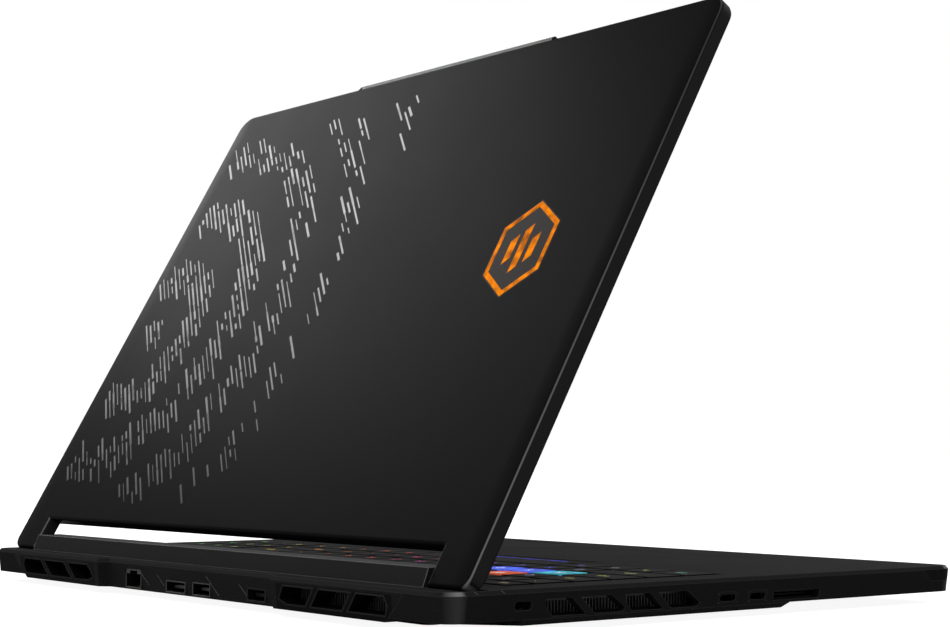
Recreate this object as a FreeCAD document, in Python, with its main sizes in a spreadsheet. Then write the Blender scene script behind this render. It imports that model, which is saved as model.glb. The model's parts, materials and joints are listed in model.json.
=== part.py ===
"""Laptop computer: clamshell base, lid on two end hinges, keyboard, cooling and ports.

Frame: millimetres, origin on the table under the middle of the base, +X to the user's right,
+Y to the rear, +Z up.  The lid is drawn closed about its hinge axis and then turned open.
"""
import FreeCAD, Part
import math
import os

import Sketcher

Vector = FreeCAD.Vector

# Driving dimensions in millimetres, angles in degrees.
SIZES = {
    # base outline
    "base_width": 357.0,
    "base_depth": 270.0,
    "base_corner": 9.0,
    "deck_height": 15.0,
    "bevel_drop": 1.4,
    "bevel_inset": 1.2,
    "base_drop": 12.5,
    "base_taper": 1.4,
    "front_upright": 6.6,
    "front_cut": 5.4,
    "wall_drop": 10.6,
    "step_x": 70.0,
    "step_depth": 3.8,
    "deck_thick": 1.6,
    "side_wall": 4.65,
    "front_wall": 7.0,
    "rear_wall": 9.0,
    "seam": 0.15,
    # rear panel between the two slanted seams
    "panel_top": 1.8,
    "panel_drop": 12.3,
    "panel_side": 24.0,
    "panel_margin_out": 8.4,
    "panel_lean": 12.0,
    # rear air vents, three on each side
    "vent_start": 78.7,
    "vent_bar": 4.0,
    "vent_lean": 5.9,
    "vent_top": 3.4,
    "vent_drop": 9.8,
    "vent_tip": 3.3,
    # side air vents, two pairs on each side
    "side_vent_inset": 43.8,
    "side_vent_length": 12.0,
    "side_vent_bar": 4.1,
    "side_vent_pair": 37.4,
    "side_vent_lean": 7.1,
    "side_vent_top": 3.8,
    "side_vent_drop": 9.9,
    "side_vent_cut": 3.6,
    "side_vent_second": 14.6,
    "side_vent_nip": 1.4,
    # bottom cover
    "plate_thick": 0.9,
    "plate_clear": 0.2,
    "bulge_lead": 11.5,
    "bulge_slope": 5.0,
    "bulge_end_inset": 35.0,
    "bulge_fin_gap": 1.0,
    "tray_rim": 4.0,
    "tray_rear_wall": 1.5,
    "slot_count": 8,
    "slot_pitch": 5.0,
    "slot_width": 2.0,
    "slot_length": 44.0,
    # feet and screws
    "foot_length": 60.0,
    "foot_width": 8.0,
    "foot_corner": 3.6,
    "rear_foot_side": 73.5,
    "rear_foot_inset": 29.0,
    "front_foot_side": 82.0,
    "front_foot_inset": 23.0,
    "screw_head": 2.4,
    "screw_head_thick": 0.8,
    "screw_shank": 1.1,
    "screw_reach": 3.4,
    "screw_clear": 0.05,
    "boss_radius": 2.7,
    "cover_boss_radius": 4.0,
    "front_screw_inset": 4.85,
    "front_screw_x": 60.0,
    "front_screw_side": 7.85,
    "middle_screw_gap": 6.2,
    "middle_screw_x": 70.0,
    "middle_screw_side": 7.4,
    "rear_screw_inset": 18.0,
    "rear_screw_x": 64.5,
    # hinge bar on the deck
    "hump_top": 6.9,
    "hump_front_reach": 8.78,
    "hump_top_reach": 3.37,
    "hump_low_reach": 5.92,
    "hump_nose": 1.2,
    "hump_wall": 0.6,
    "hump_end": 1.2,
    # lid and its hinge
    "lid_side_gap": 1.5,
    "lid_front_gap": 4.4,
    "lid_thick": 6.3,
    "lid_corner": 9.0,
    "leg_corner": 5.5,
    "lid_open": 60.3,
    "hinge_inset": 15.22,
    "hinge_rise": 4.1,
    "hinge_end": 5.55,
    "hinge_back": 3.0,
    "leg_width": 22.8,
    "cutout_gap": 0.9,
    "cutout_depth": 15.74,
    "lid_skin": 1.2,
    "lid_rim": 1.5,
    "lid_round": 1.4,
    "bezel_thick": 1.0,
    "bezel_inset": 0.4,
    "bezel_leg_short": 1.5,
    "pin_radius": 1.3,
    "pin_clear": 0.05,
    "pin_hole_clear": 0.2,
    "knuckle_radius": 2.1,
    "knuckle_length": 20.0,
    "knuckle_gap": 4.0,
    "bracket_thick": 1.0,
    "bracket_length": 26.0,
    "leaf_thick": 1.4,
    "leaf_reach": 17.0,
    "leaf_width": 17.0,
    "well_front_reach": 5.38,
    "well_rear_reach": 5.42,
    "well_depth": 2.4,
    "well_side": 2.2,
    "well_floor": 1.4,
    # display
    "display_clear": 0.25,
    "panel_thick": 2.6,
    "panel_margin": 7.0,
    "panel_low_margin": 8.06,
    "view_border_side": 2.55,
    "view_border_low": 5.2,
    "view_border_top": 2.6,
    # camera, lip, emblem window and bumpers
    "lip_half": 75.0,
    "lip_rise": 2.5,
    "lip_thick": 3.7,
    "lip_low": -2.2,
    "camera_length": 60.0,
    "camera_width": 4.4,
    "camera_thick": 3.0,
    "camera_lens": 1.6,
    "lens_hole": 2.1,
    "shutter_length": 7.6,
    "shutter_width": 3.6,
    "shutter_thick": 0.5,
    "shutter_travel": 7.5,
    "shutter_clear": 0.15,
    "emblem_side": 57.0,
    "emblem_up": 143.0,
    "emblem_half_width": 17.0,
    "emblem_half_height": 23.0,
    "emblem_flange": 1.5,
    "emblem_flange_thick": 0.6,
    "emblem_clear": 0.1,
    "bumper_side": 17.0,
    "bumper_length": 14.0,
    "bumper_width": 3.0,
    "bumper_thick": 0.5,
    # keyboard
    "kb_side": 17.45,
    "row_pitch": 18.6,
    "function_pitch": 14.4,
    "pad_pitch": 16.2,
    "pad_gap": 3.5,
    "key_gap": 2.4,
    "kb_rear_gap": 13.9,
    "key_height": 1.6,
    "key_proud": 0.2,
    "key_draft": 12.0,
    "key_travel": 1.5,
    "stem_size": 4.0,
    "stem_clear": 0.3,
    "stem_depth": 0.8,
    "kb_margin": 2.0,
    "kb_rim": 3.0,
    "key_rest": 0.3,
    "kb_plate": 1.2,
    # touchpad and power button
    "touch_gap": 15.7,
    "touch_width": 120.0,
    "touch_front_gap": 31.0,
    "touch_thick": 1.4,
    "touch_clear": 0.3,
    "touch_travel": 0.3,
    "touch_sink": 0.05,
    "touch_corner": 3.0,
    "tray_thick": 1.2,
    "button_side": 13.3,
    "button_gap": 7.0,
    "button_length": 18.0,
    "button_width": 5.0,
    "button_height": 1.8,
    "button_proud": 0.3,
    "button_clear": 0.2,
    "button_corner": 2.3,
    # front light bar
    "bar_drop": 5.8,
    "bar_side_top": 22.0,
    "bar_side_low": 17.0,
    "bar_web": 1.2,
    # boards, chips and cooling
    "board_side_gap": 1.0,
    "board_gap": 2.1,
    "post_height": 1.8,
    "board_thick": 1.0,
    "post_radius": 2.2,
    "post_x": 70.0,
    "chip_thick": 0.8,
    "chip_x": 24.0,
    "chip_back": 74.0,
    "chip_width": 38.0,
    "chip_length": 40.0,
    "spreader_thick": 1.0,
    "spreader_margin": 3.0,
    "pipe_thick": 1.4,
    "pipe_width": 6.0,
    "pipe_short": 1.5,
    "side_fin_gap": 0.65,
    "fan_inset": 69.0,
    "fan_size": 62.0,
    "fan_drop": 6.0,
    "fan_radius": 28.0,
    "fan_skin": 0.8,
    "fan_mouth": 50.0,
    "fan_pin": 1.5,
    "fan_pin_clear": 0.05,
    "rotor_radius": 26.5,
    "rotor_hub": 9.0,
    "rotor_height": 3.4,
    "rotor_lift": 0.4,
    "blade_count": 15,
    "blade_thick": 1.0,
    "fin_pitch": 1.5,
    "fin_thick": 0.4,
    "fin_plate": 0.5,
    "fin_seat": 0.2,
    "rear_fin_over": 1.4,
    "rear_fin_depth": 13.6,
    "rear_fin_drop": 3.4,
    "side_fin_over": 1.0,
    "side_fin_depth": 13.0,
    "side_fin_drop": 4.8,
    # battery, memory, storage, wireless card and speakers
    "battery_side_gap": 12.0,
    "battery_gap": 11.35,
    "battery_rear_gap": 21.5,
    "battery_thick": 5.0,
    "memory_width": 69.6,
    "memory_length": 30.0,
    "memory_thick": 1.2,
    "memory_step": 1.4,
    "memory_offset": 4.2,
    "memory_gap": 3.0,
    "drive_width": 22.0,
    "drive_length": 80.0,
    "drive_thick": 2.2,
    "drive_x": 58.0,
    "drive_gap": 2.0,
    "wireless_width": 22.0,
    "wireless_length": 30.0,
    "wireless_thick": 2.0,
    "wireless_x": -58.0,
    "wireless_ahead": 25.5,
    "speaker_side_gap": 1.4,
    "speaker_rear_gap": 2.0,
    "speaker_gap": 12.35,
    "speaker_width": 40.0,
    "speaker_thick": 5.2,
    # ports
    "port_shell": 0.5,
    "port_clear": 0.1,
    "port_back": 1.5,
    "port_sink": 4.5,
    "port_depth": 16.5,
    "network_x": 45.0,
    "network_width": 12.6,
    "network_height": 5.6,
    "network_low": 11.0,
    "network_notch_width": 6.4,
    "network_notch_height": 1.3,
    "video_x": 9.0,
    "video_width": 15.0,
    "video_height": 4.0,
    "video_low": 11.0,
    "data_x": -11.7,
    "data_width": 13.0,
    "data_height": 4.4,
    "data_low": 11.0,
    "power_x": -53.3,
    "power_width": 12.4,
    "power_height": 4.2,
    "power_low": 10.6,
    "tongue_thick": 1.2,
    "side_tongue_thick": 0.6,
    "tongue_side": 2.0,
    "tongue_back": 2.5,
    "slim_back": 23.1,
    "slim_pitch": 16.2,
    "slim_width": 8.8,
    "slim_height": 2.6,
    "slim_low": 8.8,
    "card_ahead": 15.0,
    "card_width": 25.0,
    "card_height": 2.2,
    "card_low": 8.9,
    "side_port_depth": 9.0,
    "side_port_sink": 3.1,
    "card_depth": 28.0,
    "right_data_ahead": 3.5,
    "right_data_pitch": 20.0,
    "right_data_low": 9.1,
    "jack_ahead": 44.5,
    "jack_radius": 1.8,
    "jack_shell": 2.4,
    "jack_depth": 14.0,
    "jack_mid": 7.2,
    "lock_inset": 33.8,
    "lock_width": 7.6,
    "lock_height": 3.0,
    "lock_mid": 5.7,
    "lock_corner": 1.2,
    "lock_plate_thick": 1.2,
    "lock_plate_margin": 2.5,
}

doc = FreeCAD.newDocument("Laptop")
sheet = doc.addObject("Spreadsheet::Sheet", "Sizes")
for row, (alias, number) in enumerate(SIZES.items(), start=1):
    sheet.set("A%d" % row, alias)
    sheet.set("B%d" % row, str(number))
    sheet.setAlias("B%d" % row, alias)
doc.recompute()


class Size:
    """A number together with the sheet expression that gives it."""

    def __init__(self, number, text):
        self.number = number
        self.text = text

    def __add__(self, other):
        other = as_size(other)
        return Size(self.number + other.number, "(%s + %s)" % (self.text, other.text))

    def __sub__(self, other):
        other = as_size(other)
        return Size(self.number - other.number, "(%s - %s)" % (self.text, other.text))

    def __mul__(self, other):
        other = as_size(other)
        return Size(self.number * other.number, "(%s * %s)" % (self.text, other.text))

    def __truediv__(self, other):
        other = as_size(other)
        return Size(self.number / other.number, "(%s / %s)" % (self.text, other.text))

    def __radd__(self, other):
        return as_size(other) + self

    def __rsub__(self, other):
        return as_size(other) - self

    def __rmul__(self, other):
        return as_size(other) * self

    def __neg__(self):
        return Size(-self.number, "(0 - %s)" % self.text)


def as_size(value):
    """A plain number as a Size."""
    if isinstance(value, Size):
        return value
    return Size(float(value), "(%r)" % float(value))


class Sheet:
    """The sheet's cells as attributes: s.base_width is a Size."""


s = Sheet()
for alias, number in SIZES.items():
    setattr(s, alias, Size(float(number), "Sizes.%s" % alias))


def bind(obj, path, value):
    """Drive one property of an object from the sheet."""
    obj.setExpression(path, as_size(value).text)


def place(obj, x=0, y=0, z=0):
    """Bind an object's position."""
    for axis, value in (("x", x), ("y", y), ("z", z)):
        bind(obj, "Placement.Base." + axis, value)


def same(a, b):
    """True where two coordinates are written as the same size."""
    return as_size(a).text == as_size(b).text


def outline(sketch, points, radii=None):
    """Draw one closed counter-clockwise outline, fully dimensioned from the sheet.

    Corners listed in radii (index to Size) are rounded, and must join a level and an upright line.
    """
    radii = radii or {}
    count = len(points)
    numbers = [Vector(as_size(x).number, as_size(y).number, 0) for x, y in points]
    first = sketch.GeometryCount
    geometry = []
    arcs = {}
    for i in range(count):
        start = numbers[i]
        end = numbers[(i + 1) % count]
        along = (end - start).normalize()
        if i in radii:
            start = start + along * radii[i].number
        if (i + 1) % count in radii:
            end = end - along * radii[(i + 1) % count].number
        geometry.append(Part.LineSegment(start, end))
    for i, radius in radii.items():
        before = (numbers[i] - numbers[i - 1]).normalize()
        after = (numbers[(i + 1) % count] - numbers[i]).normalize()
        a = numbers[i] - before * radius.number
        b = numbers[i] + after * radius.number
        centre = numbers[i] - before * radius.number + after * radius.number
        middle = centre + (numbers[i] - centre).normalize() * radius.number
        arcs[i] = (first + len(geometry), before.cross(after).z > 0)
        geometry.append(Part.Arc(a, middle, b))
    sketch.addGeometry(geometry, False)
    rules = []
    bound = []

    def dimension(kind, line, end, value):
        value = as_size(value)
        bound.append((len(rules), value.text))
        rules.append(Sketcher.Constraint(kind, -1, 1, line, end, value.number))

    for i in range(count):
        line = first + i
        nxt = first + (i + 1) % count
        corner = (i + 1) % count
        if corner in arcs:
            arc, left_turn = arcs[corner]
            near, far = (1, 2) if left_turn else (2, 1)
            rules.append(Sketcher.Constraint("Tangent", line, 2, arc, near))
            rules.append(Sketcher.Constraint("Tangent", nxt, 1, arc, far))
            bound.append((len(rules), radii[corner].text))
            rules.append(Sketcher.Constraint("Radius", arc, radii[corner].number))
        else:
            rules.append(Sketcher.Constraint("Coincident", line, 2, nxt, 1))
    level = [same(points[i][1], points[(i + 1) % count][1]) for i in range(count)]
    upright = [same(points[i][0], points[(i + 1) % count][0]) for i in range(count)]
    for i in range(count):
        line = first + i
        if level[i]:
            rules.append(Sketcher.Constraint("Horizontal", line))
            dimension("DistanceY", line, 1, points[i][1])
        elif upright[i]:
            rules.append(Sketcher.Constraint("Vertical", line))
            dimension("DistanceX", line, 1, points[i][0])
    for i in range(count):
        if i in radii:
            continue
        line = first + i
        if not (level[i] or level[i - 1]):
            dimension("DistanceY", line, 1, points[i][1])
        if not (upright[i] or upright[i - 1]):
            dimension("DistanceX", line, 1, points[i][0])
    start = sketch.ConstraintCount
    sketch.addConstraint(rules)
    for index, text in bound:
        sketch.setExpression("Constraints[%d]" % (start + index), text)


def rectangle(x, y):
    """The corners of a rectangle, counter-clockwise, from (low, high) pairs."""
    return [(x[0], y[0]), (x[1], y[0]), (x[1], y[1]), (x[0], y[1])]


def around(centre, width):
    """The low and high ends of a width about its centre."""
    return (centre - width / 2, centre + width / 2)


def mirrored(pair):
    """A (low, high) pair on the other side of zero."""
    return (-as_size(pair[1]), -as_size(pair[0]))


def box(name, x, y, z):
    """A block from (low, high) pairs."""
    obj = doc.addObject("Part::Box", name)
    for prop, pair in (("Length", x), ("Width", y), ("Height", z)):
        bind(obj, prop, as_size(pair[1]) - pair[0])
    place(obj, x[0], y[0], z[0])
    return obj


TURNS = {"x": FreeCAD.Rotation(Vector(0, 1, 0), 90),
         "y": FreeCAD.Rotation(Vector(1, 0, 0), -90),
         "z": FreeCAD.Rotation()}


def rod(name, centre, radius, length, axis="z"):
    """A cylinder that starts at centre and runs along +axis."""
    obj = doc.addObject("Part::Cylinder", name)
    bind(obj, "Radius", radius)
    bind(obj, "Height", length)
    obj.Placement = FreeCAD.Placement(Vector(), TURNS[axis])
    place(obj, *centre)
    return obj


SKETCH_TURNS = {"xy": FreeCAD.Rotation(),
                "xz": FreeCAD.Rotation(Vector(1, 0, 0), 90),
                "yz": FreeCAD.Rotation(Vector(1, 1, 1), 120)}
RUNS = {"xy": ("z", Vector(0, 0, 1)), "xz": ("y", Vector(0, 1, 0)), "yz": ("x", Vector(1, 0, 0))}


def prism(name, plane, outlines, low, high, radii=None):
    """Outlines drawn on a plane and run straight from low to high."""
    sketch = doc.addObject("Sketcher::SketchObject", name + "_sketch")
    axis, along = RUNS[plane]
    sketch.Placement = FreeCAD.Placement(Vector(), SKETCH_TURNS[plane])
    bind(sketch, "Placement.Base." + axis, low)
    for points in outlines:
        outline(sketch, points, radii)
    obj = doc.addObject("Part::Extrusion", name)
    obj.Base = sketch
    obj.DirMode = "Custom"
    obj.Dir = along
    obj.Solid = True
    bind(obj, "LengthFwd", as_size(high) - low)
    return obj


def join(name, pieces):
    """One shape from several that touch or overlap."""
    obj = doc.addObject("Part::MultiFuse", name)
    obj.Shapes = pieces
    return obj


def group(name, pieces):
    """Separate solids kept together as one sub-part."""
    obj = doc.addObject("Part::Compound", name)
    obj.Links = pieces
    return obj


def cut(name, base, tools):
    """A shape with the tools taken out of it."""
    obj = doc.addObject("Part::Cut", name)
    obj.Base = base
    obj.Tool = tools[0] if len(tools) == 1 else join(name + "_tools", tools)
    return obj


def overlap(name, a, b):
    """What two shapes share."""
    obj = doc.addObject("Part::Common", name)
    obj.Base = a
    obj.Tool = b
    return obj


def new_body(name):
    """An empty body that may hold several solids."""
    body = doc.addObject("PartDesign::Body", name)
    body.AllowCompound = True
    return body


def body_sketch(body, name, height, outlines, radii=None):
    """A level sketch at a height in a body."""
    sketch = body.newObject("Sketcher::SketchObject", name)
    plane = [f for f in body.Origin.OriginFeatures if f.Role == "XY_Plane"][0]
    sketch.AttachmentSupport = [(plane, "")]
    sketch.MapMode = "FlatFace"
    bind(sketch, "AttachmentOffset.Base.z", height)
    for points in outlines:
        outline(sketch, points, radii)
    return sketch


def body_pad(body, name, sketch, length, down=False, taper=None):
    """Raise a sketch into a solid."""
    pad = body.newObject("PartDesign::Pad", name)
    pad.Profile = sketch
    bind(pad, "Length", length)
    pad.Reversed = down
    if taper is not None:
        pad.setExpression("TaperAngle", taper)
    return pad


def slab(name, outlines, low, high, radii=None):
    """A body made of one straight pad."""
    body = new_body(name)
    sketch = body_sketch(body, name + "_outline", low, outlines, radii)
    body_pad(body, name + "_pad", sketch, as_size(high) - low)
    return body


nodes = {}


def node(label, obj):
    """Name a finished sub-part."""
    obj.Label = label
    nodes[label] = obj
    return obj


# Heights and places that several pieces share.
deck = s.deck_height
half_width = s.base_width / 2
half_depth = s.base_depth / 2
widest = deck - s.bevel_drop
wall_bottom = deck - s.wall_drop
lowest = deck - s.base_drop
ceiling = deck - s.deck_thick
cavity_x = half_width - s.side_wall
cavity_front = s.front_wall - half_depth
cavity_rear = half_depth - s.rear_wall
plate_top = wall_bottom + s.plate_thick
tray_floor = lowest + s.plate_thick
over = 1.0
hinge_z = deck + s.hinge_rise
hinge_y = half_depth - s.hinge_inset
hump_front = hinge_y - s.hump_front_reach
hump_rear_top = hinge_y + s.hump_top_reach
hump_rear_low = hinge_y + s.hump_low_reach
well_front = hinge_y - s.well_front_reach
well_rear = hinge_y + s.well_rear_reach
lid_half = half_width - s.lid_side_gap
cutout_half = lid_half - s.leg_width
hump_half = cutout_half - s.cutout_gap
button_y = hump_front - s.button_gap
panel_top_half = half_width - s.panel_side
vent_end = panel_top_half - s.panel_margin_out
vent_length = (vent_end - s.vent_start - s.vent_bar * 2) / 3
rear_fin_start = s.vent_start - s.vent_tip - s.rear_fin_over
rear_fin_end = vent_end + s.rear_fin_over
panel_low_half = panel_top_half - s.panel_lean
side_vent_rear = half_depth - s.side_vent_inset
side_vent_front = (side_vent_rear - s.side_vent_pair - s.side_vent_length - s.side_vent_bar
                   - s.side_vent_second - s.side_vent_lean)
lock_y = half_depth - s.lock_inset
bulge_end = half_depth - s.bulge_end_inset
bulge_rear_half = rear_fin_end + s.bulge_fin_gap
tray_side = cavity_x - s.tray_rim
fan_y = half_depth - s.fan_inset
fan_x = tray_side - s.side_fin_gap - s.side_fin_depth - s.fin_seat - s.fan_size / 2

# Keyboard rows from the hinge bar forwards; the pieces ahead of the keyboard follow its front edge.
kb_rear = hump_front - s.kb_rear_gap
function_row_y = kb_rear - s.kb_margin / 2 - s.function_pitch / 2
first_row_y = function_row_y - (s.row_pitch + s.function_pitch) / 2 - s.row_pitch * 4
kb_front = first_row_y - s.row_pitch / 2 - s.kb_margin / 2
middle_screw_y = kb_front - s.kb_rim - s.middle_screw_gap
bulge_front = middle_screw_y - s.bulge_lead
tray_front = middle_screw_y + s.boss_radius * 2


# Outer form of the base: widest below the top bevel, drawn in towards the table.
def base_outline():
    rear_in = half_depth - s.step_depth
    step_in = s.step_x - s.step_depth
    return [(-half_width, -half_depth), (half_width, -half_depth), (half_width, half_depth),
            (s.step_x, half_depth), (step_in, rear_in), (-step_in, rear_in),
            (-s.step_x, half_depth), (-half_width, half_depth)]


base_form = new_body("base_form")
corner_radii = {index: s.base_corner for index in (0, 1, 2, 7)}
base_sketch = body_sketch(base_form, "base_outline", widest, [base_outline()], corner_radii)
lower_drop = s.base_drop - s.bevel_drop
body_pad(base_form, "base_lower", base_sketch, lower_drop, down=True,
         taper="-1 * atan(%s)" % (s.base_taper / lower_drop).text)
doc.recompute()
body_pad(base_form, "base_bevel", base_sketch, s.bevel_drop,
         taper="-1 * atan(%s)" % (s.bevel_inset / s.bevel_drop).text)
doc.recompute()
cavity = box("cavity", (-cavity_x, cavity_x), (cavity_front, cavity_rear), (lowest - over, ceiling))

# The front edge is cut back below its upright face.
front_low = s.front_cut - half_depth
front_cutback = prism("front_cutback", "yz",
                      [[(-half_depth - over, lowest - over), (front_low, lowest - over), (front_low, wall_bottom),
                        (-half_depth, deck - s.front_upright), (-half_depth - over, deck - s.front_upright)]],
                      -half_width - over, half_width + over)
base_shape = cut("base_shape", base_form, [front_cutback])


# Openings that the top case and the rear panel share.
def window_outline(seam):
    """The rear panel's outline in X and Z, drawn in by a seam."""
    low = deck - s.panel_drop + seam
    high = deck - s.panel_top - seam
    return [(seam - panel_low_half, low), (panel_low_half - seam, low),
            (panel_top_half - seam, high), (seam - panel_top_half, high)]


def flip(points):
    """The same outline on the other side of X = 0, still counter-clockwise."""
    return [(-as_size(x), z) for x, z in reversed(points)]


def rear_vent_outlines():
    """Three slanted openings on the user's right, then their mirror images."""
    top = deck - s.vent_top
    low = deck - s.vent_drop
    starts = [s.vent_start + (vent_length + s.vent_bar) * i for i in range(3)]
    ends = [start + vent_length for start in starts]
    lean = s.vent_lean
    tip = s.vent_tip
    first = [(starts[0] + tip / 2, low), (ends[0] - lean, low), (ends[0], top), (starts[0], top),
             (starts[0] - tip, low + tip / 2)]
    second = [(starts[1] - lean, low), (ends[1] - lean, low), (ends[1], top), (starts[1], top)]
    third = [(starts[2] - lean, low), (ends[2] - tip, low), (ends[2] - tip / 2, (top + low) / 2),
             (ends[2] - tip, top), (starts[2], top)]
    right = [first, second, third]
    return right + [flip(points) for points in right]


def side_vent_outlines():
    """Two pairs of slanted openings in Y and Z, from rear to front."""
    top = deck - s.side_vent_top
    low = deck - s.side_vent_drop
    lean = s.side_vent_lean
    found = []
    for i in range(2):
        rear = side_vent_rear - s.side_vent_pair * i
        front = rear - s.side_vent_length
        next_rear = front - s.side_vent_bar
        next_front = next_rear - s.side_vent_second
        nip = s.side_vent_nip
        found.append([(front - lean, low), (rear - s.side_vent_cut, low),
                      (rear, low + s.side_vent_cut), (rear, top), (front, top)])
        found.append([(next_front - lean + nip, low), (next_rear - lean, low), (next_rear, top),
                      (next_front, top), (next_front - lean, low + nip)])
    return found


# Ports: a metal shell with a mouth, and a tongue inside.
rear_port_front = half_depth - s.port_sink


class RearPort:
    """One socket in the rear panel; one with a notch for the plug's catch has no tongue."""

    def __init__(self, name, x, width, height, low, notch=None):
        self.name = name
        self.x = around(x, width)
        self.z = (deck - low, deck - low + height)
        self.notch = notch
        self.middle = x

    def grown(self, margin, top):
        """The mouth's X and Z ranges, larger by a margin, up to a top."""
        return ((self.x[0] - margin, self.x[1] + margin), (self.z[0] - margin, top + margin))

    def top(self):
        if self.notch:
            return self.z[1] + self.notch[1]
        return self.z[1]

    def opening(self, name, y):
        """What the rear panel or the cover's rear rim leaves free for the shell."""
        x, z = self.grown(s.port_shell + s.port_clear, self.top())
        return box(self.name + name, x, y, z)

    def shell(self):
        x, z = self.grown(s.port_shell, self.top())
        rear = rear_port_front - s.port_depth
        back = rear + s.port_back
        outer = box(self.name + "_outer", x, (rear, rear_port_front), z)
        hollow = [box(self.name + "_mouth", self.x, (back, rear_port_front + over), self.z)]
        if self.notch:
            hollow.append(box(self.name + "_notch", around(self.middle, self.notch[0]),
                              (back, rear_port_front + over), (self.z[0], self.top())))
        can = cut(self.name + "_can", outer, hollow)
        if self.notch:
            return can
        middle = (self.z[0] + self.z[1]) / 2
        tongue = box(self.name + "_tongue", (self.x[0] + s.tongue_side, self.x[1] - s.tongue_side),
                     (rear + s.port_back / 2, rear_port_front - s.tongue_back),
                     around(middle, s.tongue_thick))
        return join(self.name + "_socket", [can, tongue])


rear_ports = [
    RearPort("network_port", s.network_x, s.network_width, s.network_height, s.network_low,
             (s.network_notch_width, s.network_notch_height)),
    RearPort("video_port", s.video_x, s.video_width, s.video_height, s.video_low),
    RearPort("rear_data_port", s.data_x, s.data_width, s.data_height, s.data_low),
    RearPort("power_inlet", s.power_x, s.power_width, s.power_height, s.power_low),
]
for port in rear_ports:
    node(port.name, port.shell())


class SidePort:
    """One socket in a side wall; side is -1 on the user's left and 1 on the right."""

    def __init__(self, name, side, y, width, height, low, depth):
        self.name = name
        self.side = side
        self.y = around(y, width)
        self.z = (deck - low, deck - low + height)
        self.depth = depth

    def across(self, near, far):
        """An X range given as distances in from the widest outline."""
        pair = (half_width - far, half_width - near)
        return pair if self.side > 0 else mirrored(pair)

    def opening(self):
        margin = s.port_shell + s.port_clear
        return box(self.name + "_opening", self.across(-over, s.side_wall + over),
                   (self.y[0] - margin, self.y[1] + margin), (self.z[0] - margin, self.z[1] + margin))

    def shell(self):
        rim = s.port_shell
        deep = s.side_port_sink + self.depth
        outer = box(self.name + "_outer", self.across(s.side_port_sink, deep),
                    (self.y[0] - rim, self.y[1] + rim), (self.z[0] - rim, self.z[1] + rim))
        mouth = box(self.name + "_mouth", self.across(s.side_port_sink - over, deep - s.port_back),
                    self.y, self.z)
        can = cut(self.name + "_can", outer, [mouth])
        middle = (self.z[0] + self.z[1]) / 2
        tongue = box(self.name + "_tongue",
                     self.across(s.side_port_sink + s.tongue_back, deep - s.port_back / 2),
                     (self.y[0] + s.tongue_side, self.y[1] - s.tongue_side),
                     around(middle, s.side_tongue_thick))
        return join(self.name + "_socket", [can, tongue])


slim_y = middle_screw_y + s.slim_back
right_data_y = middle_screw_y - s.right_data_ahead
left_slim = [SidePort("slim_left_%d" % i, -1, slim_y - s.slim_pitch * i, s.slim_width,
                     s.slim_height, s.slim_low, s.side_port_depth) for i in range(2)]
right_data = [SidePort("data_right_%d" % i, 1, right_data_y - s.right_data_pitch * i, s.data_width,
                      s.data_height, s.right_data_low, s.port_depth) for i in range(2)]
card_slot = SidePort("card_slot", -1, middle_screw_y - s.card_ahead, s.card_width, s.card_height,
                     s.card_low, s.card_depth)
node("slim_data_ports", group("slim_data_ports", [port.shell() for port in left_slim]))
node("right_data_ports", group("right_data_ports", [port.shell() for port in right_data]))
node("card_reader", card_slot.shell())

jack_front = half_width - s.side_port_sink
jack_z = deck - s.jack_mid
jack_y = middle_screw_y - s.jack_ahead
jack_start = jack_front - s.jack_depth
jack_body = rod("jack_body", (jack_start, jack_y, jack_z), s.jack_shell, s.jack_depth, "x")
jack_bore = rod("jack_bore", (jack_start + s.port_back, jack_y, jack_z), s.jack_radius, s.jack_depth, "x")
node("audio_jack", cut("audio_jack", jack_body, [jack_bore]))
jack_opening = rod("jack_opening", (cavity_x - over, jack_y, jack_z), s.jack_shell + s.port_clear,
                   s.side_wall + over * 2, "x")

# Security lock slot and the steel plate behind it.
lock_z = deck - s.lock_mid
lock_hole = rectangle(around(lock_y, s.lock_width), around(lock_z, s.lock_height))
lock_opening = prism("lock_opening", "yz", [lock_hole], -half_width - over,
                     s.lock_plate_thick + over - cavity_x, {index: s.lock_corner for index in range(4)})
lock_blank = box("lock_blank", (-cavity_x, s.lock_plate_thick - cavity_x),
                 around(lock_y, s.lock_width + s.lock_plate_margin * 2),
                 around(lock_z, s.lock_height + s.lock_plate_margin))
node("lock_plate", cut("lock_plate", lock_blank, [lock_opening]))

# Screws through the bottom cover into bosses under the deck.
def row_of_screws(y, places):
    """Screw places on both sides of the middle."""
    return [(-as_size(x), y) for x in places] + [(x, y) for x in places]


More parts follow.
